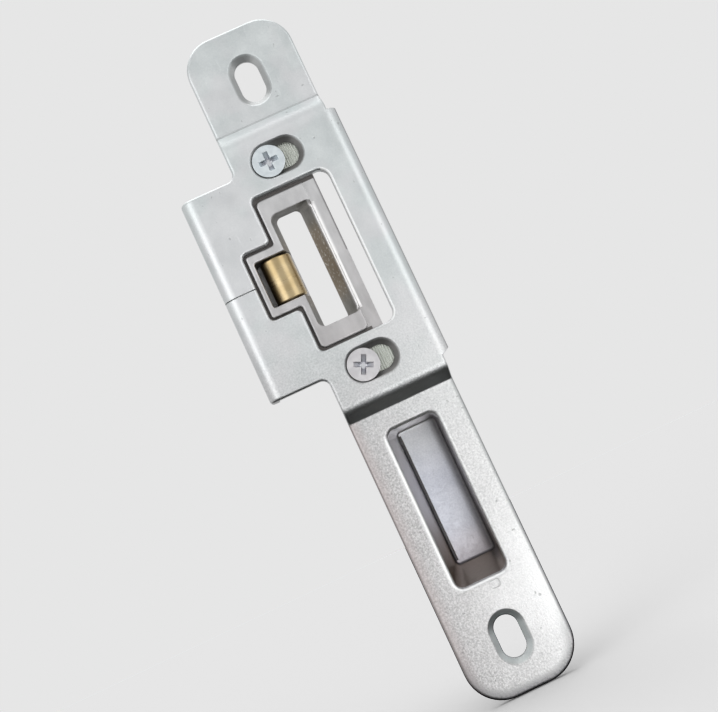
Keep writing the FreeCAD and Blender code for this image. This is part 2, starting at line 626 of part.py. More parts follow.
def make_latch_keeper():
    """The die-cast keeper: a base under the panel, a boss in the cut-out, the window and the housing."""
    body = start_body("latch_keeper")
    ear_top = SCREW_TOP + " + ear_margin"
    ear_low = SCREW_LOW + " - ear_margin"
    lap_left = "-cutout_left - under_lap"
    lap_top = "panel_middle + " + LAP_TALL + " / 2"
    lap_low = "panel_middle - " + LAP_TALL + " / 2"

    base = start_sketch(body, "base_outline", "XZ", BASE_FRONT)
    draw_loop(base, [
        ("bar_right", ear_low, "ear_corner"),
        ("bar_right", ear_top, "ear_corner"),
        (lap_left, ear_top, "ear_corner"),
        (lap_left, lap_top, "housing_corner"),
        ("-notch_left - under_lap", lap_top, "housing_corner"),
        ("-notch_left - under_lap", lap_low, "housing_corner"),
        (lap_left, lap_low, "housing_corner"),
        (lap_left, ear_low, "ear_corner"),
    ])
    pad(body, "base", base, "base_thick", towards_normal=False)

    # The boss stands up into the cut-out and ends short of the bar on the right.
    boss_rise = "sheet_thick + slide_gap - boss_drop"
    boss = start_sketch(body, "boss_outline", "XZ", BASE_FRONT)
    draw_loop(boss, [
        ("boss_right", BOSS_TOP),
        (ARM_LEFT, BOSS_TOP, "arm_corner"),
        (ARM_LEFT, HOUSING_TOP, "housing_corner"),
        (HOUSING_LEFT, HOUSING_TOP, "housing_corner"),
        (HOUSING_LEFT, HOUSING_LOW, "housing_corner"),
        (ARM_LEFT, HOUSING_LOW, "housing_corner"),
        (ARM_LEFT, BOSS_LOW, "arm_corner"),
        ("boss_right", BOSS_LOW, "arm_corner"),
    ])
    pad(body, "boss", boss, boss_rise)

    # Behind the base, the housing is deeper, to clear the roller.
    housing_right = "window_draft - window_left"
    housing = start_sketch(body, "housing_outline", "XZ", BASE_BACK)
    draw_loop(housing, [
        (housing_right, HOUSING_TOP),
        (HOUSING_LEFT, HOUSING_TOP, "housing_corner"),
        (HOUSING_LEFT, HOUSING_LOW, "housing_corner"),
        (housing_right, HOUSING_LOW),
    ])
    housing_rise = POCKET_FLOOR + " + floor_thick - " + BASE_BACK
    pad(body, "housing", housing, housing_rise, towards_normal=False)

    # The latch window narrows towards the back, most of all on its sloping right wall.
    front_right = "window_right + window_slope * (" + boss_rise + ") / base_thick"
    front = start_sketch(body, "window_front", "XZ", BOSS_FRONT)
    draw_loop(front, [
        (front_right, WINDOW_TOP, "window_corner"),
        ("-window_left", WINDOW_TOP, "window_corner"),
        ("-window_left", WINDOW_LOW, "window_corner"),
        (front_right, WINDOW_LOW, "window_corner"),
    ])
    rear = start_sketch(body, "window_rear", "XZ", BASE_BACK)
    draw_loop(rear, [
        ("window_right - window_slope", WINDOW_TOP, "rear_corner"),
        (housing_right, WINDOW_TOP, "rear_corner"),
        (housing_right, WINDOW_LOW, "rear_corner"),
        ("window_right - window_slope", WINDOW_LOW, "rear_corner"),
    ])
    window = body.newObject("PartDesign::SubtractiveLoft", "window")
    window.Profile = front
    window.Sections = [rear]
    doc.recompute()

    # The roller's pocket opens into the window, and the pin's hole runs through its two ends.
    pocket_half = "(roller_length / 2 + roller_gap)"
    nest = start_sketch(body, "nest_outline", "XZ", BOSS_FRONT)
    nest_right = housing_right + " + roller_clear"
    nest_left = HOUSING_LEFT + " + pocket_wall"
    draw_loop(nest, [
        (nest_right, "panel_middle + " + pocket_half),
        (nest_left, "panel_middle + " + pocket_half, "housing_corner"),
        (nest_left, "panel_middle - " + pocket_half, "housing_corner"),
        (nest_right, "panel_middle - " + pocket_half),
    ])
    pocket(body, "nest", nest, POCKET_FLOOR + " - " + BOSS_FRONT)
    pin_hole = start_sketch(body, "pin_hole_outline", "XY", "panel_middle")
    draw_circle(pin_hole, ROLLER_X, ROLLER_Y, "pin_dia / 2 + pin_fit")
    pocket(body, "pin_hole", pin_hole, LAP_TALL, both_ways=True)

    # Threaded holes in the ears.
    holes = start_sketch(body, "screw_holes_outline", "XZ", BASE_FRONT)
    for height in (SCREW_TOP, SCREW_LOW):
        draw_circle(holes, SCREW_X, height, "shank_dia / 2 + thread_fit")
    pocket(body, "screw_holes", holes, "base_thick")

    # Rounded front edges of the boss, and the bright chamfer of the bar along the window.
    left = value(HOUSING_LEFT)
    right = value("boss_right")
    high = value(BOSS_TOP)
    low = value(BOSS_LOW)
    crest = value(BOSS_FRONT)
    outer = []
    for box_low, box_high in (
        ((left, low), (value(ARM_LEFT), high)),
        ((left, high), (right, high)),
        ((left, low), (right, low)),
    ):
        outer += edges_in(body, (box_low[0], crest, box_low[1]), (box_high[0], crest, box_high[1]))
    dress(body, "Fillet", "boss_edges", outer, "Radius", "boss_round")
    bevel = start_sketch(body, "bar_bevel_section", "XY", "panel_middle")
    bevel_end = "window_right - window_slope"
    bevel_fall = "(window_slope + bar_chamfer) * bar_dip / bar_chamfer"
    draw_loop(bevel, [
        ("window_right + bar_chamfer", BASE_FRONT),
        (bevel_end, BASE_FRONT),
        (bevel_end, BASE_FRONT + " + " + bevel_fall),
    ])
    pocket(body, "bar_bevel", bevel, "window_height - window_corner", both_ways=True)

    # Serrations on the ears grip the panel's back.
    groove_length = "ear_margin + adjust_width / 2 + adjust_sink"
    lower_start = SCREW_LOW + " + adjust_width / 2 + adjust_sink"
    for start, name in ((ear_top, "upper_ribs"), (lower_start, "lower_ribs")):
        groove = start_sketch(body, name + "_outline", "XY", start)
        first = lap_left + " + rib_flat"
        draw_loop(groove, [
            (first, BASE_FRONT),
            (first + " + rib_pitch - rib_flat", BASE_FRONT),
            (first + " + (rib_pitch - rib_flat) / 2", BASE_FRONT + " + rib_deep"),
        ])
        cut = pocket(body, name + "_first", groove, groove_length)
        row = body.newObject("PartDesign::LinearPattern", name)
        row.Originals = [cut]
        row.Direction = (place_of("X_Axis", body), [""])
        count = "floor((bar_right + cutout_left + under_lap) / rib_pitch)"
        row.setExpression("Occurrences", bound(count))
        row.setExpression("Length", bound("rib_pitch * (" + count + " - 1)"))
        body.Tip = row
        doc.recompute()
    return body


def set_place(body, across, back, up):
    """Bind a body's place to three expressions."""
    for axis, text in (("x", across), ("y", back), ("z", up)):
        body.setExpression("Placement.Base." + axis, bound(text))


def make_roller():
    """The brass roller, bored for its pin, with chamfered rims."""
    body = start_body("roller")
    ring = start_sketch(body, "roller_section", "XY", "-roller_length / 2")
    draw_circle(ring, "0", "0", "roller_dia / 2")
    draw_circle(ring, "0", "0", "pin_dia / 2 + roller_fit")
    pad(body, "roller_blank", ring, "roller_length")
    chamfer_rims(body, "roller_rims", "roller_dia / 2", "roller_length / 2", "roller_edge")
    set_place(body, ROLLER_X, ROLLER_Y, "panel_middle")
    return body


def make_roller_pin():
    """The pin, pressed into the housing's two ends."""
    body = start_body("roller_pin")
    half_length = "(" + LAP_TALL + " / 2 - pin_short)"
    disc = start_sketch(body, "pin_section", "XY", "-" + half_length)
    draw_circle(disc, "0", "0", "pin_dia / 2")
    pad(body, "pin_blank", disc, "2 * " + half_length)
    chamfer_rims(body, "pin_rims", "pin_dia / 2", half_length, "pin_edge")
    set_place(body, ROLLER_X, ROLLER_Y, "panel_middle")
    return body


def chamfer_rims(body, name, radius, half_length, amount):
    """Chamfer the two outer rims of a round bar that stands along Z about the body's origin."""
    reach = value(radius)
    rims = []
    for end in (-value(half_length), value(half_length)):
        found = edges_in(body, (-reach, -reach, end), (reach, reach, end))
        widest = max(found, key=lambda edge: body.Shape.getElement(edge).BoundBox.XLength)
        rims.append(widest)
    dress(body, "Chamfer", name, rims, "Size", amount)


def cross_corners(reach, arm):
    """The outline of a cross, from half its width and half the width of an arm."""
    return [
        (reach, "-" + arm), (reach, arm), (arm, arm), (arm, reach), ("-" + arm, reach), ("-" + arm, arm),
        ("-" + reach, arm), ("-" + reach, "-" + arm), ("-" + arm, "-" + arm), ("-" + arm, "-" + reach),
        (arm, "-" + reach), (arm, "-" + arm),
    ]


def make_screw(label, height, turn):
    """One countersunk screw with a cross recess, its axis along Y."""
    body = start_body(label)
    profile = start_sketch(body, "screw_profile", "XY", "0")
    cone_start = HEAD_FRONT + " + head_rim"
    cone_end = HEAD_FRONT + " + head_rim + (head_dia - shank_dia) / 2"
    tip = BASE_FRONT + " + screw_grip"
    draw_loop(profile, [
        ("0", HEAD_FRONT),
        ("head_dia / 2", HEAD_FRONT),
        ("head_dia / 2", cone_start),
        ("shank_dia / 2", cone_end),
        ("shank_dia / 2", tip + " - tip_chamfer"),
        ("shank_dia / 2 - tip_chamfer", tip),
        ("0", tip),
    ])
    turned = body.newObject("PartDesign::Revolution", "screw_blank")
    turned.Profile = profile
    turned.ReferenceAxis = (profile, ["V_Axis"])
    turned.Angle = 360
    doc.recompute()
    cross_mouth = start_sketch(body, "recess_mouth", "XZ", HEAD_FRONT)
    draw_loop(cross_mouth, cross_corners("recess_span / 2", "recess_arm / 2"))
    cross_tip = start_sketch(body, "recess_tip", "XZ", HEAD_FRONT + " + recess_deep")
    draw_loop(cross_tip, cross_corners("tip_span / 2", "tip_arm / 2"))
    recess = body.newObject("PartDesign::SubtractiveLoft", "recess")
    recess.Profile = cross_mouth
    recess.Sections = [cross_tip]
    recess.Ruled = True
    doc.recompute()
    body.Placement.Rotation = FreeCAD.Rotation(FreeCAD.Vector(0, 1, 0), value(turn))
    set_place(body, SCREW_X, "0", height)
    return body


def make_keeper_screws():
    """The two clamping screws, as one group; the lower one's cross stands turned."""
    upper = make_screw("upper_screw", SCREW_TOP, "0")
    lower = make_screw("lower_screw", SCREW_LOW, "low_turn")
    pair = doc.addObject("Part::Compound", "keeper_screws")
    pair.Label = "keeper_screws"
    pair.Links = [upper, lower]
    doc.recompute()
    return pair


def check_and_write(pieces):
    """Write each sub-part once the whole document is sound."""
    doc.recompute()
    for item in doc.Objects:
        if "Invalid" in item.State or "Error" in item.State:
            raise RuntimeError(item.Name + " did not build")
    for piece in pieces:
        if piece.Shape.isNull() or not piece.Shape.isValid():
            raise RuntimeError(piece.Label + " has no sound shape")
    os.makedirs("parts", exist_ok=True)
    for piece in pieces:
        piece.Shape.exportStep("parts/" + piece.Label + ".step")
        solids = len(piece.Shape.Solids)
        print("%s: %d solid(s), %.1f mm3" % (piece.Label, solids, piece.Shape.Volume))


check_and_write([
    make_frame_plate(),
    make_bolt_box(),
    make_latch_keeper(),
    make_roller(),
    make_roller_pin(),
    make_keeper_screws(),
])
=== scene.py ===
# %% [markdown]
# # A door strike plate, dressed for the studio
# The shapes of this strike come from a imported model: a pressed plate, a die-cast keeper with its brass
# roller, two clamping screws and a folded box behind the bolt opening. They are loaded first and stay
# where they are. What is left for Blender is what the eye reads as metal: plating, casting skin, turned
# brass, and the light that all of them mirror.

import math

import bmesh
import bpy
from mathutils import Matrix, Quaternion, Vector


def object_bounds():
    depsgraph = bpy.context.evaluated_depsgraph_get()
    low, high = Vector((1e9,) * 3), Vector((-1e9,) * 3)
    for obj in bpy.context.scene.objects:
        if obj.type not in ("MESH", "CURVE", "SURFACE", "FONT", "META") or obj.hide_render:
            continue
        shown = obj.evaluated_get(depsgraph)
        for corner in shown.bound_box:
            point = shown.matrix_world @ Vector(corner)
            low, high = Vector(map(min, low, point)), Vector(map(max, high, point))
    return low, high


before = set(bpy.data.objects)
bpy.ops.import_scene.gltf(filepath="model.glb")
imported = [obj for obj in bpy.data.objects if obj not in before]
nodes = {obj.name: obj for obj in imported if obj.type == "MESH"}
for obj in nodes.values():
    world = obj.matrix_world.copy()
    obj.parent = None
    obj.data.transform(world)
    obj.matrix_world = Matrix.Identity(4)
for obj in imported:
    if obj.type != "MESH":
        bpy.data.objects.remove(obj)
cad_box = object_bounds()

# %% [markdown]
# The camera looks at the front from about 26 cm away and a little below the middle. It is rolled,
# so that the plate lies across the picture with its top to the upper left. The place, the aim and the
# roll were worked out from the plate's straight edges, which draw together with distance.

# %% Camera
MM = 0.001
CAMERA_PLACE = Vector((-16.5, -262.0, -20.84)) * MM
CAMERA_AIM = Vector((-4.04, -2.0, 0.98)) * MM
CAMERA_ROLL = -0.43716
NEAREST_SEEN = 10.0 * MM
SENSOR_WIDTH = 36.0
FOCAL_IN_PIXELS = 1194.4
PICTURE_WIDTH = 718.0

camera_data = bpy.data.cameras.new("camera")
camera_data.sensor_fit = "HORIZONTAL"
camera_data.sensor_width = SENSOR_WIDTH
camera_data.lens = FOCAL_IN_PIXELS / PICTURE_WIDTH * SENSOR_WIDTH
camera_data.clip_start = NEAREST_SEEN
camera = bpy.data.objects.new("camera", camera_data)
bpy.context.scene.collection.objects.link(camera)
level_view = (CAMERA_AIM - CAMERA_PLACE).to_track_quat("-Z", "Y")
camera.location = CAMERA_PLACE
camera.rotation_mode = "QUATERNION"
camera.rotation_quaternion = level_view @ Quaternion((0.0, 0.0, 1.0), CAMERA_ROLL)
bpy.context.scene.camera = camera
bpy.context.scene.view_settings.view_transform = "Standard"
print("camera lens", round(camera_data.lens, 2), "mm")

# %% [markdown]
# Every finish below is a small network of nodes. Drawn by hand in the editor it would be a wide tangle,
# so these helpers start one with a bare metal shader and add the parts that repeat: a pattern in the
# piece's own metres, a range that turns the pattern into a roughness or a share, and a mix of two tints.
# The bump starts from slightly softened edges, because a real edge is never quite sharp and its thin
# bright line is what shows it.

# %% Helpers for finishes


def start_metal(name):
    """A bare metal material; returns it with its node tree and its shader."""
    finish = bpy.data.materials.new(name)
    finish.use_nodes = True
    tree = finish.node_tree
    shader = tree.nodes["Principled BSDF"]
    shader.inputs["Metallic"].default_value = 1.0
    return finish, tree, shader


def object_place(tree, stretch=(1.0, 1.0, 1.0)):
    """Object coordinates, stretched along the piece's axes."""
    place = tree.nodes.new("ShaderNodeTexCoord")
    mapping = tree.nodes.new("ShaderNodeMapping")
    mapping.inputs["Scale"].default_value = stretch
    tree.links.new(place.outputs["Object"], mapping.inputs["Vector"])
    return mapping.outputs["Vector"]


def coordinates(tree, place):
    """The three coordinates of a place: across, depth from the front, and height."""
    split = tree.nodes.new("ShaderNodeSeparateXYZ")
    tree.links.new(place, split.inputs["Vector"])
    return split.outputs["X"], split.outputs["Y"], split.outputs["Z"]


def cloudy(tree, place, size, detail=2.0, roughness=0.5):
    """A cloudy pattern from 0 to 1 whose blobs are about size metres wide."""
    noise = tree.nodes.new("ShaderNodeTexNoise")
    noise.inputs["Scale"].default_value = 1.0 / size
    noise.inputs["Detail"].default_value = detail
    noise.inputs["Roughness"].default_value = roughness
    tree.links.new(place, noise.inputs["Vector"])
    return noise.outputs["Fac"]


def ranged(tree, value, low, high, to_low=0.0, to_high=1.0, smooth=False):
    """Turn the span low to high of a value into the span to_low to to_high."""
    span = tree.nodes.new("ShaderNodeMapRange")
    span.interpolation_type = "SMOOTHSTEP" if smooth else "LINEAR"
    for socket, number in (("From Min", low), ("From Max", high), ("To Min", to_low), ("To Max", to_high)):
        span.inputs[socket].default_value = number
    tree.links.new(value, span.inputs["Value"])
    return span.outputs["Result"]


MIDDLE_TONE = 0.5
WIDE_SPAN = 0.4
NARROW_SPAN = 0.3
SPECKLE_SPAN = 0.36


def contrasted(tree, pattern, span, to_low=0.0, to_high=1.0):
    """Stretch the span round a pattern's middle tone to a range of its own."""
    return ranged(tree, pattern, MIDDLE_TONE - span / 2, MIDDLE_TONE + span / 2, to_low, to_high)


# A mix of colours takes its two tints in sockets 6 and 7 and gives the result in socket 2
FIRST_TINT = 6
SECOND_TINT = 7
MIXED_TINT = 2


def blended(tree, amount, first, second):
    """Mix two tints, each a socket or an RGB triple."""
    mix = tree.nodes.new("ShaderNodeMix")
    mix.data_type = "RGBA"
    tree.links.new(amount, mix.inputs["Factor"])
    for socket, colour in ((mix.inputs[FIRST_TINT], first), (mix.inputs[SECOND_TINT], second)):
        if isinstance(colour, tuple):
            socket.default_value = (*colour, 1.0)
        else:
            tree.links.new(colour, socket)
    return mix.outputs[MIXED_TINT]


SOFT_EDGE_SAMPLES = 4


def raised(tree, shader, height, depth, edge):
    """Raise the surface by a height pattern, depth metres deep, on edges softened by a radius."""
    bump = tree.nodes.new("ShaderNodeBump")
    bump.inputs["Distance"].default_value = depth
    soft_edge = tree.nodes.new("ShaderNodeBevel")
    soft_edge.samples = SOFT_EDGE_SAMPLES
    soft_edge.inputs["Radius"].default_value = edge
    tree.links.new(height, bump.inputs["Height"])
    tree.links.new(soft_edge.outputs["Normal"], bump.inputs["Normal"])
    tree.links.new(bump.outputs["Normal"], shader.inputs["Normal"])


def wear(node_name, finish):
    """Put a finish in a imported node's own material slot."""
    nodes[node_name].material_slots[0].material = finish
    print(node_name, "wears", finish.name)


print("helpers for finishes are ready")

# %% [markdown]
# Pits, painted shade and painted highlights lie at known places of a piece. An image could paint them, but it
# would need a UV map and would blur close by. Here a mask is worked out from the coordinates instead: one
# inside some limits, zero outside, and the product of several masks where all of them have to hold.

# %% Helpers for masks


def reckon(tree, operation, first, second=0.0):
    """One sum of two values, each a socket or a number."""
    node = tree.nodes.new("ShaderNodeMath")
    node.operation = operation
    for socket, term in zip(node.inputs, (first, second)):
        if isinstance(term, (int, float)):
            socket.default_value = term
        else:
            tree.links.new(term, socket)
    return node.outputs["Value"]


def gathered(tree, operation, first, *others):
    """The same sum over a row of values, one after another."""
    for other in others:
        first = reckon(tree, operation, first, other)
    return first


def product(tree, *values):
    """Masks or values multiplied together."""
    return gathered(tree, "MULTIPLY", *values)


def total(tree, *values):
    """Values added up."""
    return gathered(tree, "ADD", *values)


def most(tree, *values):
    """The largest of some values."""
    return gathered(tree, "MAXIMUM", *values)


def outside(tree, mask):
    """One where a mask is zero, zero where it is one."""
    return reckon(tree, "SUBTRACT", 1.0, mask)


def above(tree, value, limit):
    """One where a value is more than a limit, zero elsewhere."""
    return reckon(tree, "GREATER_THAN", value, limit)


def below(tree, value, limit):
    """One where a value is less than a limit, zero elsewhere."""
    return reckon(tree, "LESS_THAN", value, limit)


def between(tree, value, low, high):
    """One inside the span from low to high, zero outside it."""
    return product(tree, above(tree, value, low), below(tree, value, high))


print("helpers for masks are ready")

# %% [markdown]
# The plate is pressed from 2 mm steel: two end tabs, a raised panel between two steps, a folded right
# edge, and openings. Its marks follow these features, so their places are named first, in the plate's
# own metres. The outermost ones are measured on the loaded mesh.

# %% Places on the plate
plate_corners = nodes["frame_plate"].bound_box
PLATE_LOW = plate_corners[0][2]
PANEL_FRONT = plate_corners[0][1]
FOLD_RIGHT = plate_corners[6][0]
TAB_HALF = 12.5 * MM
TAB_FRONT = -2.0 * MM
WITHIN_SHEET = 1.95 * MM
FOOT_CORNER = 8.5 * MM
UPPER_STEP_FOOT = 58.1 * MM
LOWER_STEP_HEAD = -8.9 * MM
LOWER_STEP_FOOT = -11.9 * MM
BOLT_HALF = 6.0 * MM
BOLT_LOW = -54.1 * MM
BOLT_HIGH = -16.7 * MM
CUTOUT_RIGHT = 6.75 * MM
CUTOUT_LOW = 4.0 * MM
CUTOUT_HIGH = 42.8 * MM
print("plate's foot at", round(PLATE_LOW, 4), "m, panel's front at", round(PANEL_FRONT, 4), "m")
print("plate's fold reaches", round(FOLD_RIGHT, 4), "m")

# %% [markdown]
# The zinc on the upper half has stayed smooth and mirrors a little blue-green, under a weak pink film. The
# lower half took a coarser grain in the press; on it, painted shade darkens the left side and painted light
# makes it almost white low on the right. One noise can't be both, so each half gets a tint of its own, and a
# gradient along the plate mixes them.

# %% Tints of the zinc
SMOOTH_ABOVE = 25.0 * MM
GRAINY_BELOW = -30.0 * MM
WHITE_FROM = -34.0 * MM
WHITE_FULL = -58.0 * MM
WHITE_FADES = -66.0 * MM
WHITE_ENDS = -75.0 * MM
ZINC_GRAIN = 0.42 * MM
ZINC_CLOUD = 6.0 * MM
CLOUD_SHARE = 0.65
FILM_SIZE = 11.0 * MM
FILM_SPAN = (0.42, 0.62)
FILM_SHARE = 0.4
MOTTLE_SPAN = 0.32
WHITE_SHARE = 0.8
WHITE_LEFT = 0.3
UPPER_TINTS = (0.545, 0.580, 0.585), (0.665, 0.695, 0.697)
FILM_TINT = (0.670, 0.650, 0.668)
# Lit and shaded copies of the lower zinc: painted shade on the left, painted light on the right and, almost
# white, low down.
LOWER_SHADED_TINTS = (0.310, 0.305, 0.306), (0.650, 0.640, 0.642)
LOWER_LIT_TINTS = (0.590, 0.594, 0.594), (0.830, 0.834, 0.832)
LOWER_PAINTED_LIGHT = (0.88, 0.885, 0.885)


def upper_zinc(tree, place, grain, cloud):
    """Smooth blue-green clouds with a weak pink film."""
    mottled = total(tree, product(tree, cloud, CLOUD_SHARE), product(tree, grain, 1.0 - CLOUD_SHARE))
    tint = blended(tree, contrasted(tree, mottled, MOTTLE_SPAN), *UPPER_TINTS)
    film = ranged(tree, cloudy(tree, place, FILM_SIZE), *FILM_SPAN, smooth=True)
    return blended(tree, product(tree, film, FILM_SHARE), tint, FILM_TINT)


def lower_zinc(tree, spot, grain):
    """Grainy zinc, with painted shade on the left and painted light, almost white, low on the right."""
    across, _, height = spot
    speckle = contrasted(tree, grain, SPECKLE_SPAN)
    left = blended(tree, speckle, *LOWER_SHADED_TINTS)
    right = blended(tree, speckle, *LOWER_LIT_TINTS)
    # The almost white area low on the right is painted light.
    white = ranged(tree, height, WHITE_FROM, WHITE_FULL, 0.0, WHITE_SHARE, smooth=True)
    fading = ranged(tree, height, WHITE_FADES, WHITE_ENDS, 1.0, WHITE_LEFT, smooth=True)
    right = blended(tree, product(tree, white, fading), right, LOWER_PAINTED_LIGHT)
    return blended(tree, ranged(tree, across, -TAB_HALF, TAB_HALF), left, right)


print("zinc is smooth above", SMOOTH_ABOVE, "m and grainy below", GRAINY_BELOW, "m")

# %% [markdown]
# The press has left pits. The dull line in the crease at the upper step's foot, and the dark lower step with
# its ragged upper end, are painted shade. The countersinks are darkened as painted shade in their hollows.
# Each of these is a mask that lays a tint of its own over the zinc.

# %% Pits, painted shade on the steps, and shaded countersinks
CREASE_ABOVE = 0.15 * MM
CREASE_BELOW = 0.35 * MM
RAGGED = 1.6 * MM
STEP_STARTS = LOWER_STEP_HEAD + 1.5 * MM
STEP_IS_DARK = LOWER_STEP_HEAD + 0.3 * MM
# One dark tint for the pits and for the painted shade in the crease and on the lower step.
PITS_AND_SHADE_TINT = (0.27, 0.28, 0.28)
PIT_SHARE = 0.5
CREASE_SHADE_SHARE = 0.5
STEP_SHADE_SHARE = 0.9
SINK_STARTS = 0.1 * MM
SINK_SHADE_FULL = 0.5 * MM
ADJUSTING_SLOT = (4.4 * MM, -8.5 * MM, 4.6 * MM, PANEL_FRONT, (0.26, 0.255, 0.25))
# Each row ends with a darker tint, which is painted shade in that countersink.
SINKS = (
    (67.5 * MM, 6.4 * MM, -4.4 * MM, 4.4 * MM, TAB_FRONT, (0.45, 0.46, 0.46)),
    (-67.5 * MM, 6.4 * MM, -4.4 * MM, 4.4 * MM, TAB_FRONT, (0.55, 0.58, 0.58)),
    (48.15 * MM, *ADJUSTING_SLOT),
    (-1.35 * MM, *ADJUSTING_SLOT),
)


def pits_and_painted_shade(tree, height, tint, grain, pit):
    """Lay pits, and painted shade in the upper crease and on the lower step, over a tint."""
    crease_shade = between(tree, height, UPPER_STEP_FOOT - CREASE_BELOW, UPPER_STEP_FOOT + CREASE_ABOVE)
    # The crease line and the dark lower step are painted shade.
    ragged_height = total(tree, height, product(tree, grain, RAGGED))
    step_shade = ranged(tree, ragged_height, STEP_STARTS, STEP_IS_DARK)
    step_shade = product(tree, step_shade, above(tree, height, LOWER_STEP_FOOT))
    marks = (pit, PIT_SHARE), (crease_shade, CREASE_SHADE_SHARE), (step_shade, STEP_SHADE_SHARE)
    darkest = most(tree, *(product(tree, mark, share) for mark, share in marks))
    return blended(tree, darkest, tint, PITS_AND_SHADE_TINT)


def shaded_sinks(tree, spot, tint):
    """Lay painted shade over a tint where a countersink dips behind its front face."""
    across, depth, height = spot
    # The tint laid on each countersink is painted shade.
    for centre, half_height, left, right, front, bare in SINKS:
        near = between(tree, height, centre - half_height, centre + half_height)
        near = product(tree, near, between(tree, across, left, right))
        near = product(tree, near, below(tree, depth, front + WITHIN_SHEET))
        sunk = ranged(tree, depth, front + SINK_STARTS, front + SINK_SHADE_FULL)
        tint = blended(tree, product(tree, near, sunk), tint, bare)
    return tint


# The countersinks' darker tint is painted shade.
print(len(SINKS), "countersinks are bare")

# %% [markdown]
# The edges get painted light and shade. The bolt opening's edge is rolled in and has a painted highlight,
# with a soft painted light band beside it on the left. The cut-out's right brim has a lighter painted
# highlight, the sheared end of the plate and its folded side have painted shade, and the lower tab is warmer
# along its left side. The imported mesh stays as it is, so the finish shows these edges, by masks that work
# from the distance to each. Those of the tab, the bolt opening and the brim stop before the sheet's back.

# %% Edges and rims of the plate
RIM = 1.2 * MM
FRONT_SKIN = 0.02 * MM
ROUNDED_IN = 0.12 * MM
WARM_WIDTH = 3.5 * MM
WARM_TINT = (0.46, 0.385, 0.38)
WARM_SHARE = 0.5
# The tab's darker edges are painted shade.
LEFT_EDGE = (0.6 * MM, 0.2 * MM)
LEFT_EDGE_SHADE = (0.25, 0.225, 0.22)
LEFT_EDGE_SHARE = 0.7
RIGHT_EDGE = (1.0 * MM, 0.4 * MM)
RIGHT_EDGE_SHADE = (0.36, 0.37, 0.37)
RIGHT_EDGE_SHARE = 0.9
# The light band and the bright rim of the bolt opening are painted highlights, and so is the brim's light
# tint.
BAND = (1.7 * MM, 0.4 * MM)
BAND_OVERRUN = 0.5 * MM
BAND_TAPER = 2.5 * MM
BAND_HIGHLIGHT = (0.82, 0.83, 0.83)
BAND_SHARE = 0.75
BOLT_RIM_HIGHLIGHT = (0.93, 0.94, 0.94)
BRIM_HIGHLIGHT = (0.84, 0.85, 0.85)
# The dark tints of the folded side and of the plate's foot are painted shade.
FOLD_EDGE = (0.5 * MM, 0.1 * MM)
FOLD_EDGE_SHADE = (0.24, 0.24, 0.25)
FOOT_SHADE_EDGE = (3.0 * MM, 0.4 * MM)
FOOT_EDGE_SHADE_TINT = (0.16, 0.16, 0.165)
FOOT_SHADE_SHARE = 0.95
FOOT_SHADE_GRAIN = (0.36, 0.62)
FOOT_SHADE_LEAST = 0.55


def tab_edges(tree, across, on_tab, tint):
    """Lay the lower tab's warm side and the painted shade on its two edges over a tint."""
    left_span = [reach - TAB_HALF for reach in LEFT_EDGE]
    right_span = [TAB_HALF - reach for reach in RIGHT_EDGE]
    warm = ranged(tree, across, WARM_WIDTH - TAB_HALF, -TAB_HALF, 0.0, WARM_SHARE, smooth=True)
    # The darker left and right edges are painted shade.
    left = ranged(tree, across, *left_span, 0.0, LEFT_EDGE_SHARE)
    right = ranged(tree, across, *right_span, 0.0, RIGHT_EDGE_SHARE, smooth=True)
    for share, edge_tint in ((warm, WARM_TINT), (left, LEFT_EDGE_SHADE), (right, RIGHT_EDGE_SHADE)):
        tint = blended(tree, product(tree, share, on_tab), tint, edge_tint)
    return tint


def bolt_rim_highlights(tree, spot, on_tab, tint):
    """Lay the bolt opening's painted highlights, a light band and a bright rolled rim, over a tint."""
    across, depth, height = spot
    # The light band and the bright rim are painted highlights.
    band_span = [-BOLT_HALF - reach for reach in BAND]
    band = ranged(tree, across, *band_span, 0.0, BAND_SHARE, smooth=True)
    under_top = ranged(tree, height, BOLT_HIGH + BAND_OVERRUN, BOLT_HIGH - BAND_TAPER)
    over_foot = ranged(tree, height, BOLT_LOW - BAND_OVERRUN, BOLT_LOW + BAND_TAPER)
    beside = below(tree, across, RIM - BOLT_HALF)
    tint = blended(tree, product(tree, band, beside, on_tab, under_top, over_foot), tint, BAND_HIGHLIGHT)
    rim = between(tree, across, -BOLT_HALF - RIM, BOLT_HALF - RIM)
    level = between(tree, height, BOLT_LOW - RIM, BOLT_HIGH - RIM)
    rounded = ranged(tree, depth, TAB_FRONT + FRONT_SKIN, TAB_FRONT + ROUNDED_IN)
    in_sheet = below(tree, depth, TAB_FRONT + WITHIN_SHEET)
    return blended(tree, product(tree, rim, level, rounded, in_sheet), tint, BOLT_RIM_HIGHLIGHT)


def cutout_brim(tree, spot):
    """A mask of the cut-out's right brim."""
    across, depth, height = spot
    beside = between(tree, across, CUTOUT_RIGHT - RIM, CUTOUT_RIGHT + RIM)
    level = between(tree, height, CUTOUT_LOW, CUTOUT_HIGH)
    in_sheet = between(tree, depth, PANEL_FRONT + FRONT_SKIN, PANEL_FRONT + WITHIN_SHEET)
    return product(tree, beside, level, in_sheet)


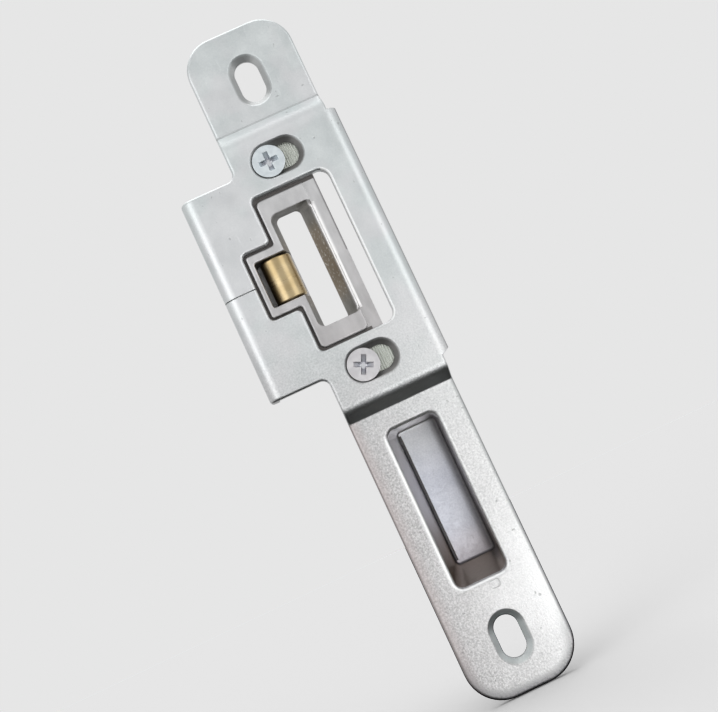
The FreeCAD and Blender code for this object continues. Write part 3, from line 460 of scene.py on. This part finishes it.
def foot_edge_shade(tree, spot, grain):
    """A speckled mask of painted shade round the plate's foot, by the distance from its corners' centres."""
    across, _, height = spot
    past_side = reckon(tree, "SUBTRACT", reckon(tree, "ABSOLUTE", across), TAB_HALF - FOOT_CORNER)
    past_foot = reckon(tree, "SUBTRACT", PLATE_LOW + FOOT_CORNER, height)
    squares = [reckon(tree, "POWER", most(tree, past, 0.0), 2.0) for past in (past_side, past_foot)]
    from_centre = reckon(tree, "SQRT", total(tree, *squares))
    edge_span = [FOOT_CORNER - reach for reach in FOOT_SHADE_EDGE]
    edge = ranged(tree, from_centre, *edge_span, 0.0, FOOT_SHADE_SHARE, smooth=True)
    speckle = ranged(tree, grain, *FOOT_SHADE_GRAIN, FOOT_SHADE_LEAST, 1.0)
    near_foot = ranged(tree, height, PLATE_LOW + 2.0 * FOOT_CORNER, PLATE_LOW, smooth=True)
    return product(tree, edge, speckle, near_foot)


print("rims reach", RIM, "m beside their edges")

# %% [markdown]
# Now the plate's finish is put together: the zinc, the pits and the painted shade, then the painted
# highlights and shade of the edges over them. The roughness varies with the same clouds. It is higher on the
# brim and on the upper step, where the sheet was stretched, and along a few fine scratches. The bump lets the
# grain grow downwards.

# %% Zinc plating of the pressed plate
PIT_SIZE = 1.3 * MM
PIT_SPAN = (0.74, 0.80)
SCRATCH_SIZE = 0.3 * MM
SCRATCH_SPAN = (0.68, 0.78)
SCRATCH_STRETCH = (1.0, 1.0, 0.05)
STRETCH_STARTS = UPPER_STEP_FOOT - 6.0 * MM
STRETCH_FULL = UPPER_STEP_FOOT - 4.0 * MM
ZINC_RELIEF = 0.06 * MM
GRAIN_AT_TOP = 0.3
SCRATCH_DENT = 0.3
PIT_DENT = 0.5
ZINC_ROUGHNESS = (0.41, 0.48)
SCRATCH_ROUGHER = 0.08
BRIM_ROUGHER = 0.2
STRETCH_ROUGHER = 0.16
PLATE_SOFT_EDGE = 0.25 * MM


def zinc_plating():
    """Zinc on pressed steel, from smooth at the top to grainy at the foot."""
    finish, tree, shader = start_metal("zinc_plating")
    place = object_place(tree)
    spot = coordinates(tree, place)
    across, depth, height = spot
    grain = cloudy(tree, place, ZINC_GRAIN, detail=3.0, roughness=0.65)
    cloud = cloudy(tree, place, ZINC_CLOUD, detail=4.0, roughness=0.6)
    pit = ranged(tree, cloudy(tree, place, PIT_SIZE, detail=1.0), *PIT_SPAN)
    scratch_place = object_place(tree, SCRATCH_STRETCH)
    scratch = ranged(tree, cloudy(tree, scratch_place, SCRATCH_SIZE, detail=3.0), *SCRATCH_SPAN)
    downwards = ranged(tree, height, SMOOTH_ABOVE, GRAINY_BELOW, smooth=True)
    on_tab = product(tree, below(tree, height, LOWER_STEP_FOOT), below(tree, depth, TAB_FRONT + WITHIN_SHEET))
    brim = cutout_brim(tree, spot)

    tint = blended(tree, downwards, upper_zinc(tree, place, grain, cloud), lower_zinc(tree, spot, grain))
    tint = pits_and_painted_shade(tree, height, tint, grain, pit)
    tint = shaded_sinks(tree, spot, tint)
    tint = tab_edges(tree, across, on_tab, tint)
    tint = bolt_rim_highlights(tree, spot, on_tab, tint)
    # The brim's light tint is a painted highlight.
    tint = blended(tree, brim, tint, BRIM_HIGHLIGHT)
    # The dark folded side is painted shade.
    fold_span = [FOLD_RIGHT - reach for reach in FOLD_EDGE]
    tint = blended(tree, ranged(tree, across, *fold_span), tint, FOLD_EDGE_SHADE)
    # The dark rim round the plate's foot is painted shade.
    tint = blended(tree, foot_edge_shade(tree, spot, grain), tint, FOOT_EDGE_SHADE_TINT)
    tree.links.new(tint, shader.inputs["Base Color"])

    stretched = ranged(tree, height, STRETCH_STARTS, STRETCH_FULL, 0.0, STRETCH_ROUGHER)
    stretched = product(tree, stretched, below(tree, height, UPPER_STEP_FOOT))
    rough = contrasted(tree, cloud, WIDE_SPAN, *ZINC_ROUGHNESS)
    rough = total(tree, rough, product(tree, scratch, SCRATCH_ROUGHER))
    rough = total(tree, rough, product(tree, brim, BRIM_ROUGHER), stretched)
    tree.links.new(rough, shader.inputs["Roughness"])

    grain_height = product(tree, grain, ranged(tree, downwards, 0.0, 1.0, GRAIN_AT_TOP, 1.0))
    dents = total(tree, product(tree, scratch, SCRATCH_DENT), product(tree, pit, PIT_DENT))
    relief = reckon(tree, "SUBTRACT", grain_height, dents)
    raised(tree, shader, relief, ZINC_RELIEF, PLATE_SOFT_EDGE)
    return finish


wear("frame_plate", zinc_plating())

# %% [markdown]
# The box behind the bolt opening is folded from thinner sheet. Its floor, which faces out, has a speckled
# lavender plating, greyer at the top with a straw-coloured strip on the left, and pinker at the foot. The
# walls go from pale near the top to a darker brown towards the foot. The right wall and the floor beside it
# are rougher and have painted shade, and painted shade lies in the folds and in the seam beside the floor.
# Each of these is a gradient or a limit in the box's own depth, width or height, so no image has to be laid
# on it.

# %% Places and tints of the bolt box
BOX_FLOOR = 18.0 * MM
BOX_FLOOR_FROM = BOX_FLOOR - 0.8 * MM
BOX_FLOOR_FULL = BOX_FLOOR - 0.1 * MM
BOX_FOLD_FROM = BOX_FLOOR - 0.9 * MM
BOX_FOLD_TO = BOX_FLOOR - 0.02 * MM
BOX_FOLD_TOP = -20.5 * MM
BOX_SEAM = (BOX_FLOOR + 0.05 * MM, BOX_FLOOR + 0.3 * MM)
BOX_INSIDE = BOX_FLOOR + 0.5 * MM
BOX_BACK = (BOX_FLOOR + 0.9 * MM, BOX_FLOOR + 0.95 * MM)
BOX_FLOOR_TOP = (-31.0 * MM, -19.0 * MM)
BOX_FLOOR_FOOT = (-40.0 * MM, -50.0 * MM)
BOX_WALL_FOOT = (-34.0 * MM, -50.0 * MM)
STRAW_STRIP = (-3.0 * MM, -4.4 * MM)
SHADED_DULL_SIDE = (4.2 * MM, 6.6 * MM)
SHADED_DULL_WALL_OUT = 7.4 * MM
SHADED_DULL_DEPTH = (7.0 * MM, 14.0 * MM)
LAVENDER_TINTS = (0.53, 0.55, 0.615), (0.71, 0.725, 0.785)
BOX_FOOT_TINTS = (0.52, 0.49, 0.525), (0.66, 0.63, 0.665)
BOX_TOP_TINTS = (0.52, 0.53, 0.535), (0.70, 0.705, 0.705)
STRAW_TINT = (0.68, 0.67, 0.53)
BOX_FOOT_SHARE = 0.8
BOX_TOP_SHARE = 0.7
STRAW_SHARE = 0.8
FINE_SHARE = 0.5
BOX_WALL_TINTS = (0.94, 0.92, 0.93), (0.42, 0.36, 0.305)
# Painted shade for the right side, the folds and the seam.
RIGHT_SIDE_SHADE = (0.16, 0.15, 0.155)
SHADED_DULL_SHARE = 0.85
SHADED_DULL_LEAST = 0.1
BOX_FOLD_SHADE = (0.12, 0.115, 0.12)
BOX_FOLD_SHADE_SHARE = 0.55
BOX_SEAM_SHADE = (0.12, 0.115, 0.115)
print("box floor at", BOX_FLOOR, "m")

# %% Plating of the bolt box
BOX_GRAIN = 0.7 * MM
BOX_CLOUD = 6.0 * MM
BOX_SPECKLE = 0.4 * MM
BOX_ROUGHNESS = (0.32, 0.44)
DULL_ROUGHER = 0.25
BOX_RELIEF = 0.03 * MM
BOX_SOFT_EDGE = 0.3 * MM


def box_floor(tree, place, spot):
    """Speckled lavender, pinker at the foot, and greyer at the top with a straw-coloured strip."""
    across, _, height = spot
    cloud = contrasted(tree, cloudy(tree, place, BOX_CLOUD), NARROW_SPAN)
    fine = contrasted(tree, cloudy(tree, place, BOX_SPECKLE, detail=3.0), SPECKLE_SPAN)
    speckle = total(tree, product(tree, cloud, 1.0 - FINE_SHARE), product(tree, fine, FINE_SHARE))
    near_foot = ranged(tree, height, *BOX_FLOOR_FOOT, 0.0, BOX_FOOT_SHARE, smooth=True)
    near_top = ranged(tree, height, *BOX_FLOOR_TOP, 0.0, BOX_TOP_SHARE, smooth=True)
    tint = blended(tree, speckle, *LAVENDER_TINTS)
    tint = blended(tree, near_foot, tint, blended(tree, speckle, *BOX_FOOT_TINTS))
    tint = blended(tree, near_top, tint, blended(tree, speckle, *BOX_TOP_TINTS))
    straw = ranged(tree, across, *STRAW_STRIP, 0.0, STRAW_SHARE)
    return blended(tree, product(tree, straw, near_top), tint, STRAW_TINT)


def right_shade_and_dullness(tree, spot):
    """A mask for painted shade and dullness on the box's right wall and the floor beside it, which fades in
    with depth.
    """
    across, depth, _ = spot
    side = ranged(tree, across, *SHADED_DULL_SIDE, 0.0, SHADED_DULL_SHARE, smooth=True)
    inside = product(tree, below(tree, across, SHADED_DULL_WALL_OUT), below(tree, depth, BOX_INSIDE))
    return product(tree, side, inside, ranged(tree, depth, *SHADED_DULL_DEPTH, SHADED_DULL_LEAST, 1.0))


def box_plating():
    """Plating of the folded box: floor, walls, and painted shade on the right side, in the folds and in the
    seam.
    """
    finish, tree, shader = start_metal("box_plating")
    place = object_place(tree)
    spot = coordinates(tree, place)
    _, depth, height = spot
    wall = blended(tree, ranged(tree, height, *BOX_WALL_FOOT, smooth=True), *BOX_WALL_TINTS)
    on_floor = ranged(tree, depth, BOX_FLOOR_FROM, BOX_FLOOR_FULL, smooth=True)
    tint = blended(tree, on_floor, wall, box_floor(tree, place, spot))
    # The darker right wall and floor beside it are painted shade, and they are rougher too.
    shade_and_dullness = right_shade_and_dullness(tree, spot)
    tint = blended(tree, shade_and_dullness, tint, RIGHT_SIDE_SHADE)
    # The dark folds are painted shade.
    fold = product(tree, between(tree, depth, BOX_FOLD_FROM, BOX_FOLD_TO), below(tree, height, BOX_FOLD_TOP))
    tint = blended(tree, product(tree, fold, BOX_FOLD_SHADE_SHARE), tint, BOX_FOLD_SHADE)
    # The dark seam beside the floor is painted shade.
    seam = reckon(tree, "SUBTRACT", ranged(tree, depth, *BOX_SEAM), ranged(tree, depth, *BOX_BACK))
    tint = blended(tree, seam, tint, BOX_SEAM_SHADE)
    tree.links.new(tint, shader.inputs["Base Color"])

    grain = cloudy(tree, place, BOX_GRAIN, detail=3.0)
    rough = contrasted(tree, grain, WIDE_SPAN, *BOX_ROUGHNESS)
    rough = total(tree, rough, product(tree, shade_and_dullness, DULL_ROUGHER))
    tree.links.new(rough, shader.inputs["Roughness"])
    raised(tree, shader, grain, BOX_RELIEF, BOX_SOFT_EDGE)
    return finish


wear("bolt_box", box_plating())

# %% [markdown]
# The keeper is die-cast zinc. Casting leaves a fine, even skin, slightly rough and faintly purple beside the
# plated steel, with darker flow marks. Its front is lighter towards the top, which is painted light. Inside
# the window the skin is dark with painted shade, brown in the middle, with bright specks that are painted
# glints. The serrated ears that show in the adjusting slots are a little green. The flow marks are a noise
# stretched along the casting.

# %% Casting skin, front and window
KEEPER_MIDDLE = 23.4 * MM
BOSS_HALF = 17.6 * MM
CUTOUT_HALF = 19.2 * MM
FRONT_LIGHTENS = (5.0 * MM, 42.0 * MM)
BROWN_MIDDLE = (11.0 * MM, 6.0 * MM)
SPECK_SIZE = 0.7 * MM
SPECK_SPAN = (0.56, 0.70)
# The front's shaded and lit tints paint light towards the top.
FRONT_SHADED_TINTS = (0.412, 0.402, 0.404), (0.515, 0.502, 0.505)
FRONT_LIT_TINTS = (0.52, 0.52, 0.525), (0.63, 0.63, 0.635)
EAR_TINT = (0.60, 0.62, 0.58)
# The window's dark tints are painted shade, and its bright specks are painted glints.
WINDOW_SHADE_TINTS = (0.22, 0.212, 0.195), (0.34, 0.33, 0.31)
BROWN_TINT = (0.37, 0.29, 0.20)
BROWN_SHARE = 0.6
SPECK_GLINT_TINT = (0.68, 0.66, 0.61)


def keeper_front(tree, spot, off_middle, flow):
    """The tumbled front, with painted light towards the top, and the greener ears."""
    _, depth, height = spot
    low = blended(tree, flow, *FRONT_SHADED_TINTS)
    high = blended(tree, flow, *FRONT_LIT_TINTS)
    # Lighter towards the top is painted light.
    tint = blended(tree, ranged(tree, height, *FRONT_LIGHTENS), low, high)
    ears = product(tree, above(tree, off_middle, CUTOUT_HALF), below(tree, depth, 0.0))
    return blended(tree, ears, tint, EAR_TINT)


def keeper_window(tree, place, off_middle, flow):
    """Painted shade inside the window, brown in the middle, with bright specks as painted glints."""
    middle = ranged(tree, off_middle, *BROWN_MIDDLE, smooth=True)
    # The dark window tint is painted shade.
    tint = blended(tree, flow, *WINDOW_SHADE_TINTS)
    tint = blended(tree, product(tree, middle, BROWN_SHARE), tint, BROWN_TINT)
    # The bright specks are painted glints.
    speck = ranged(tree, cloudy(tree, place, SPECK_SIZE, detail=3.0), *SPECK_SPAN)
    return blended(tree, product(tree, speck, middle), tint, SPECK_GLINT_TINT)


print("window's middle at", KEEPER_MIDDLE, "m")

# %% [markdown]
# Light and shade are painted on the keeper too. The bar's inner edge has a white painted highlight, the bar's
# outer edge has painted shade in its upper half, and painted shade lies in the roller's pocket and in the gap
# round the boss, though not beside the bar's lower half. The window's walls have painted shade, all but the
# one on the bar's side. Painted layers would do this too. Here each is a mask, and the back keeps the tint of
# the front.

# %% Casting skin of the keeper
POCKET_RIGHT = -9.6 * MM
WINDOW_RIGHT = -2.8 * MM
BAR_RIGHT = 3.63 * MM
INNER_EDGE_LEFT = -0.1 * MM
INNER_EDGE_RIGHT = 1.25 * MM
INNER_EDGE_HALF = 12.9 * MM
INNER_EDGE_FADE = (INNER_EDGE_RIGHT - 0.4 * MM, INNER_EDGE_RIGHT + 0.4 * MM)
INNER_EDGE_DEPTH = 0.6 * MM
BOSS_FRONT = -4.2 * MM
BASE_FRONT = -2.9 * MM
BASE_BACK = 2.4 * MM
JUST_BEFORE = 0.1 * MM
WALL_STARTS = BOSS_FRONT + 0.1 * MM
WALL_FULL = BOSS_FRONT + 0.6 * MM
WINDOW_STARTS = BASE_FRONT + 0.3 * MM
WINDOW_FULL = BASE_FRONT + 1.5 * MM
BAR_EDGE = (BAR_RIGHT - 0.45 * MM, BAR_RIGHT - 0.1 * MM)
# The shaded, bar-edge and gap tints are painted shade; the white inner edge is a painted highlight.
SHADED_TINT = (0.11, 0.109, 0.106)
SHADED_SHARE = 0.5
INNER_EDGE_HIGHLIGHT = (0.93, 0.92, 0.92)
BAR_EDGE_SHADE = (0.14, 0.135, 0.135)
BAR_EDGE_SHADE_SHARE = 0.85
GAP_SHADE_TINT = (0.12, 0.112, 0.108)
CAST_GRAIN = 0.35 * MM
CAST_ROUGHNESS = (0.36, 0.46)
WINDOW_ROUGHER = 0.12
FLOW_SIZE = 3.0 * MM
FLOW_STRETCH = (1.0, 1.0, 0.4)
CAST_RELIEF = 0.04 * MM
CAST_SOFT_EDGE = 0.3 * MM


def inner_edge_highlight(tree, spot, off_middle):
    """A mask of the bar's inner edge for its painted highlight, soft on its right side."""
    across, depth, _ = spot
    strip = ranged(tree, across, *INNER_EDGE_FADE, 1.0, 0.0, smooth=True)
    strip = product(tree, strip, above(tree, across, INNER_EDGE_LEFT), below(tree, off_middle, INNER_EDGE_HALF))
    return product(tree, strip, between(tree, depth, BASE_FRONT - JUST_BEFORE, BASE_FRONT + INNER_EDGE_DEPTH))


def cast_skin():
    """Skin of the die-cast keeper, with painted shade in its window, pocket and gaps, and a painted highlight
    on the bar's inner edge.
    """
    finish, tree, shader = start_metal("cast_skin")
    place = object_place(tree)
    spot = coordinates(tree, place)
    across, depth, height = spot
    off_middle = reckon(tree, "ABSOLUTE", reckon(tree, "SUBTRACT", height, KEEPER_MIDDLE))
    flow_place = object_place(tree, FLOW_STRETCH)
    flow = contrasted(tree, cloudy(tree, flow_place, FLOW_SIZE, detail=3.0), NARROW_SPAN)

    boss_wall = product(tree, below(tree, across, INNER_EDGE_LEFT), below(tree, off_middle, BOSS_HALF))
    boss_wall = product(tree, ranged(tree, depth, WALL_STARTS, WALL_FULL), boss_wall)
    inwards = most(tree, ranged(tree, depth, WINDOW_STARTS, WINDOW_FULL, smooth=True), boss_wall)
    # The window's walls, all but the one on the bar's side, get painted shade.
    shaded = product(tree, boss_wall, below(tree, across, WINDOW_RIGHT), SHADED_SHARE)
    window = blended(tree, shaded, keeper_window(tree, place, off_middle, flow), SHADED_TINT)
    front = keeper_front(tree, spot, off_middle, flow)
    skin = blended(tree, inwards, front, window)
    # The white inner edge of the bar is a painted highlight.
    skin = blended(tree, inner_edge_highlight(tree, spot, off_middle), skin, INNER_EDGE_HIGHLIGHT)
    # The dark outer edge of the bar is painted shade.
    bar_edge = ranged(tree, across, *BAR_EDGE, 0.0, BAR_EDGE_SHADE_SHARE)
    bar_edge = product(tree, bar_edge, below(tree, off_middle, CUTOUT_HALF))
    skin = blended(tree, bar_edge, skin, BAR_EDGE_SHADE)
    bar_foot = product(tree, below(tree, height, KEEPER_MIDDLE), above(tree, across, INNER_EDGE_RIGHT))
    rear = above(tree, depth, BASE_BACK - JUST_BEFORE)
    skin = blended(tree, bar_foot, skin, front)
    skin = blended(tree, rear, skin, front)
    # The dark gap round the boss and the roller's pocket are painted shade.
    gap = product(tree, between(tree, off_middle, BOSS_HALF, CUTOUT_HALF), outside(tree, bar_foot))
    gap_and_pocket_shade = most(tree, gap, below(tree, across, POCKET_RIGHT))
    gap_and_pocket_shade = product(tree, gap_and_pocket_shade, above(tree, depth, BASE_FRONT - JUST_BEFORE), outside(tree, rear))
    skin = blended(tree, gap_and_pocket_shade, skin, GAP_SHADE_TINT)
    tree.links.new(skin, shader.inputs["Base Color"])

    grain = cloudy(tree, place, CAST_GRAIN, detail=3.0, roughness=0.6)
    rough = contrasted(tree, grain, WIDE_SPAN, *CAST_ROUGHNESS)
    rough = total(tree, rough, product(tree, inwards, WINDOW_ROUGHER))
    tree.links.new(rough, shader.inputs["Roughness"])
    raised(tree, shader, grain, CAST_RELIEF, CAST_SOFT_EDGE)
    return finish


wear("latch_keeper", cast_skin())

# %% [markdown]
# The roller is turned brass, and the tool leaves rings round it. A wave texture would draw them, but all
# alike. A noise that is stretched round the axis and fine along it gives rings that vary. The polish is
# high enough for one broad streak.

# %% Turned brass of the roller
BRASS_RING = 0.3 * MM
BRASS_RING_STRETCH = (0.02, 0.02, 1.0)
BRASS_CLOUD = 3.0 * MM
BRASS_TINTS = (0.42, 0.32, 0.172), (0.485, 0.385, 0.227)
BRASS_ROUGHNESS = (0.26, 0.36)
BRASS_RELIEF = 0.006 * MM
BRASS_SOFT_EDGE = 0.2 * MM


def turned_brass():
    """Brass with rings from the lathe."""
    finish, tree, shader = start_metal("turned_brass")
    rings = cloudy(tree, object_place(tree, BRASS_RING_STRETCH), BRASS_RING, detail=3.0)
    cloud = contrasted(tree, cloudy(tree, object_place(tree), BRASS_CLOUD), NARROW_SPAN)
    tree.links.new(blended(tree, cloud, *BRASS_TINTS), shader.inputs["Base Color"])
    tree.links.new(contrasted(tree, rings, WIDE_SPAN, *BRASS_ROUGHNESS), shader.inputs["Roughness"])
    raised(tree, shader, rings, BRASS_RELIEF, BRASS_SOFT_EDGE)
    return finish


wear("roller", turned_brass())

# %% [markdown]
# The pin is ground steel, of which little is seen. Grinding leaves fine rings, as turning does, so the
# same stretched noise serves.

# %% Ground steel of the pin
STEEL_RING = 0.2 * MM
STEEL_RING_STRETCH = (0.05, 0.05, 1.0)
STEEL_TINTS = (0.52, 0.52, 0.53), (0.62, 0.62, 0.63)
STEEL_ROUGHNESS = (0.22, 0.36)


def ground_steel():
    """Steel with fine rings from the grinder."""
    finish, tree, shader = start_metal("ground_steel")
    rings = cloudy(tree, object_place(tree, STEEL_RING_STRETCH), STEEL_RING)
    tint = blended(tree, contrasted(tree, rings, WIDE_SPAN), *STEEL_TINTS)
    tree.links.new(tint, shader.inputs["Base Color"])
    tree.links.new(contrasted(tree, rings, WIDE_SPAN, *STEEL_ROUGHNESS), shader.inputs["Roughness"])
    return finish


wear("roller_pin", ground_steel())

# %% [markdown]
# The two screws share one node and so one finish. The upper one has blue-white zinc and the lower one a
# pinker zinc, so the tint changes at a height between them. What lies behind the heads' fronts, such as
# the floor of each cross, has one plain grey for both.

# %% Plated screws
SCREW_GRAIN = 0.5 * MM
SCREW_CLOUD = 2.0 * MM
BETWEEN_SCREWS = 20.0 * MM
CROSS_FLOOR = (-4.6 * MM, -3.0 * MM)
UPPER_SCREW_TINTS = (0.65, 0.705, 0.735), (0.735, 0.79, 0.815)
LOWER_SCREW_TINTS = (0.57, 0.56, 0.575), (0.65, 0.64, 0.65)
CROSS_TINT = (0.66, 0.67, 0.70)
SCREW_ROUGHNESS = (0.30, 0.42)
SCREW_RELIEF = 0.02 * MM
SCREW_SOFT_EDGE = 0.2 * MM


def screw_plating():
    """Zinc on the two screws, blue-white on the upper one and pinker on the lower."""
    finish, tree, shader = start_metal("screw_plating")
    place = object_place(tree)
    _, depth, height = coordinates(tree, place)
    cloud = contrasted(tree, cloudy(tree, place, SCREW_CLOUD), NARROW_SPAN)
    upper = blended(tree, cloud, *UPPER_SCREW_TINTS)
    lower = blended(tree, cloud, *LOWER_SCREW_TINTS)
    head = blended(tree, below(tree, height, BETWEEN_SCREWS), upper, lower)
    tint = blended(tree, ranged(tree, depth, *CROSS_FLOOR), head, CROSS_TINT)
    tree.links.new(tint, shader.inputs["Base Color"])
    grain = cloudy(tree, place, SCREW_GRAIN, detail=3.0)
    tree.links.new(contrasted(tree, grain, WIDE_SPAN, *SCREW_ROUGHNESS), shader.inputs["Roughness"])
    raised(tree, shader, grain, SCREW_RELIEF, SCREW_SOFT_EDGE)
    return finish


wear("keeper_screws", screw_plating())

# %% [markdown]
# Metal shows what stands round it, so the studio is part of the finish. The world is a plain pale grey,
# which the camera and the metal both see, and a slightly darker one for the light that falls on the floor.

# %% World
BACKDROP = 0.7913
ROOM_LIGHT = 0.6


def studio_world():
    """A pale grey world, darker for the light on matt surfaces."""
    world = bpy.data.worlds.new("studio")
    world.use_nodes = True
    tree = world.node_tree
    tree.nodes.clear()
    rays = tree.nodes.new("ShaderNodeLightPath")
    seen = most(tree, *(rays.outputs[f"Is {kind} Ray"] for kind in ("Camera", "Glossy", "Transmission")))
    room = tree.nodes.new("ShaderNodeBackground")
    room.inputs["Color"].default_value = (ROOM_LIGHT, ROOM_LIGHT, ROOM_LIGHT, 1.0)
    backdrop = tree.nodes.new("ShaderNodeBackground")
    backdrop.inputs["Color"].default_value = (BACKDROP, BACKDROP, BACKDROP, 1.0)
    either = tree.nodes.new("ShaderNodeMixShader")
    output = tree.nodes.new("ShaderNodeOutputWorld")
    tree.links.new(seen, either.inputs["Fac"])
    tree.links.new(room.outputs["Background"], either.inputs[1])
    tree.links.new(backdrop.outputs["Background"], either.inputs[2])
    tree.links.new(either.outputs["Shader"], output.inputs["Surface"])
    return world


bpy.context.scene.world = studio_world()
print("world grey", BACKDROP)

# %% [markdown]
# The floor lies just under the plate's lower end. It only catches the shadow, so the background stays
# close to one even grey. A flat sheet is one quad of a grid, moved and turned in its mesh.

# %% Floor
UPWARDS = (0.0, 0.0, 1.0)
FLOOR_GAP = 0.2 * MM
FLOOR_BEHIND = 0.15
FLOOR_SIDE = 0.7
FLOOR_GREY = 0.8


def flat_sheet(name, centre, width, depth):
    """A flat sheet for the stage that faces upwards."""
    shape = bmesh.new()
    bmesh.ops.create_grid(shape, x_segments=1, y_segments=1, size=0.5)
    stretch = Matrix.Diagonal((width, depth, 1.0, 1.0))
    turn = Vector(UPWARDS).to_track_quat("Z", "Y").to_matrix().to_4x4()
    bmesh.ops.transform(shape, matrix=Matrix.Translation(centre) @ turn @ stretch, verts=shape.verts)
    mesh = bpy.data.meshes.new(name)
    shape.to_mesh(mesh)
    shape.free()
    sheet = bpy.data.objects.new(name, mesh)
    bpy.context.scene.collection.objects.link(sheet)
    return sheet


def matt_finish(name, grey):
    """A matt grey without any gloss."""
    finish = bpy.data.materials.new(name)
    finish.use_nodes = True
    shader = finish.node_tree.nodes["Principled BSDF"]
    shader.inputs["Base Color"].default_value = (grey, grey, grey, 1.0)
    shader.inputs["Roughness"].default_value = 1.0
    shader.inputs["Specular IOR Level"].default_value = 0.0
    return finish


floor_height = cad_box[0].z - FLOOR_GAP
floor = flat_sheet("floor", (0.0, FLOOR_BEHIND, floor_height), FLOOR_SIDE, FLOOR_SIDE)
floor.data.materials.append(matt_finish("pale_floor", FLOOR_GREY))
floor.is_shadow_catcher = True
floor.visible_glossy = False
print("floor at", round(floor_height, 4), "m")

# %% [markdown]
# Two dark cards below give the lower step, the countersinks and the downward edges their dark lines. Only
# mirrors see them, so they cast no shadow and stay out of the picture.

# %% Dark cards
CARD_GREY = 0.03
CARDS = (
    ("card_below", (0.0, 0.06, -0.13), 0.6, 0.28),
    ("card_deep", (0.0, -0.16, -0.32), 0.8, 0.44),
)

card_finish = matt_finish("dark_card", CARD_GREY)
for card_name, card_centre, card_width, card_depth in CARDS:
    card = flat_sheet(card_name, card_centre, card_width, card_depth)
    card.data.materials.append(card_finish)
    card.visible_camera = False
    card.visible_shadow = False
    card.visible_diffuse = False
    card.visible_transmission = False
    print(card_name, "at", card_centre)

# %% [markdown]
# Large soft lamps stand round the plate. The left one makes the broad band on the lip, the right one the
# soft line on the folded edge, the low one the bright lower end, and the top one lights the upper step.

# %% Lamps
LAMPS = (
    ("lamp_left", (-0.44, -0.50, 0.08), 0.42, 0.60, 1.52),
    ("lamp_right", (0.50, -0.45, 0.02), 0.40, 0.60, 1.15),
    ("lamp_low", (0.20, -0.60, -0.24), 0.40, 0.30, 2.1),
    ("lamp_top", (0.0, 0.08, 0.60), 0.6, 0.6, 1.5),
)


def soft_lamp(name, place, width, height, brightness):
    """A rectangular lamp that faces the plate's middle; brightness is what a mirror would show."""
    data = bpy.data.lights.new(name, "AREA")
    data.shape = "RECTANGLE"
    data.size = width
    data.size_y = height
    data.energy = brightness * math.pi * width * height
    lamp = bpy.data.objects.new(name, data)
    lamp.location = place
    lamp.rotation_euler = (-Vector(place)).to_track_quat("-Z", "Y").to_euler()
    bpy.context.scene.collection.objects.link(lamp)
    print(name, "brightness", brightness)


for lamp_row in LAMPS:
    soft_lamp(*lamp_row)
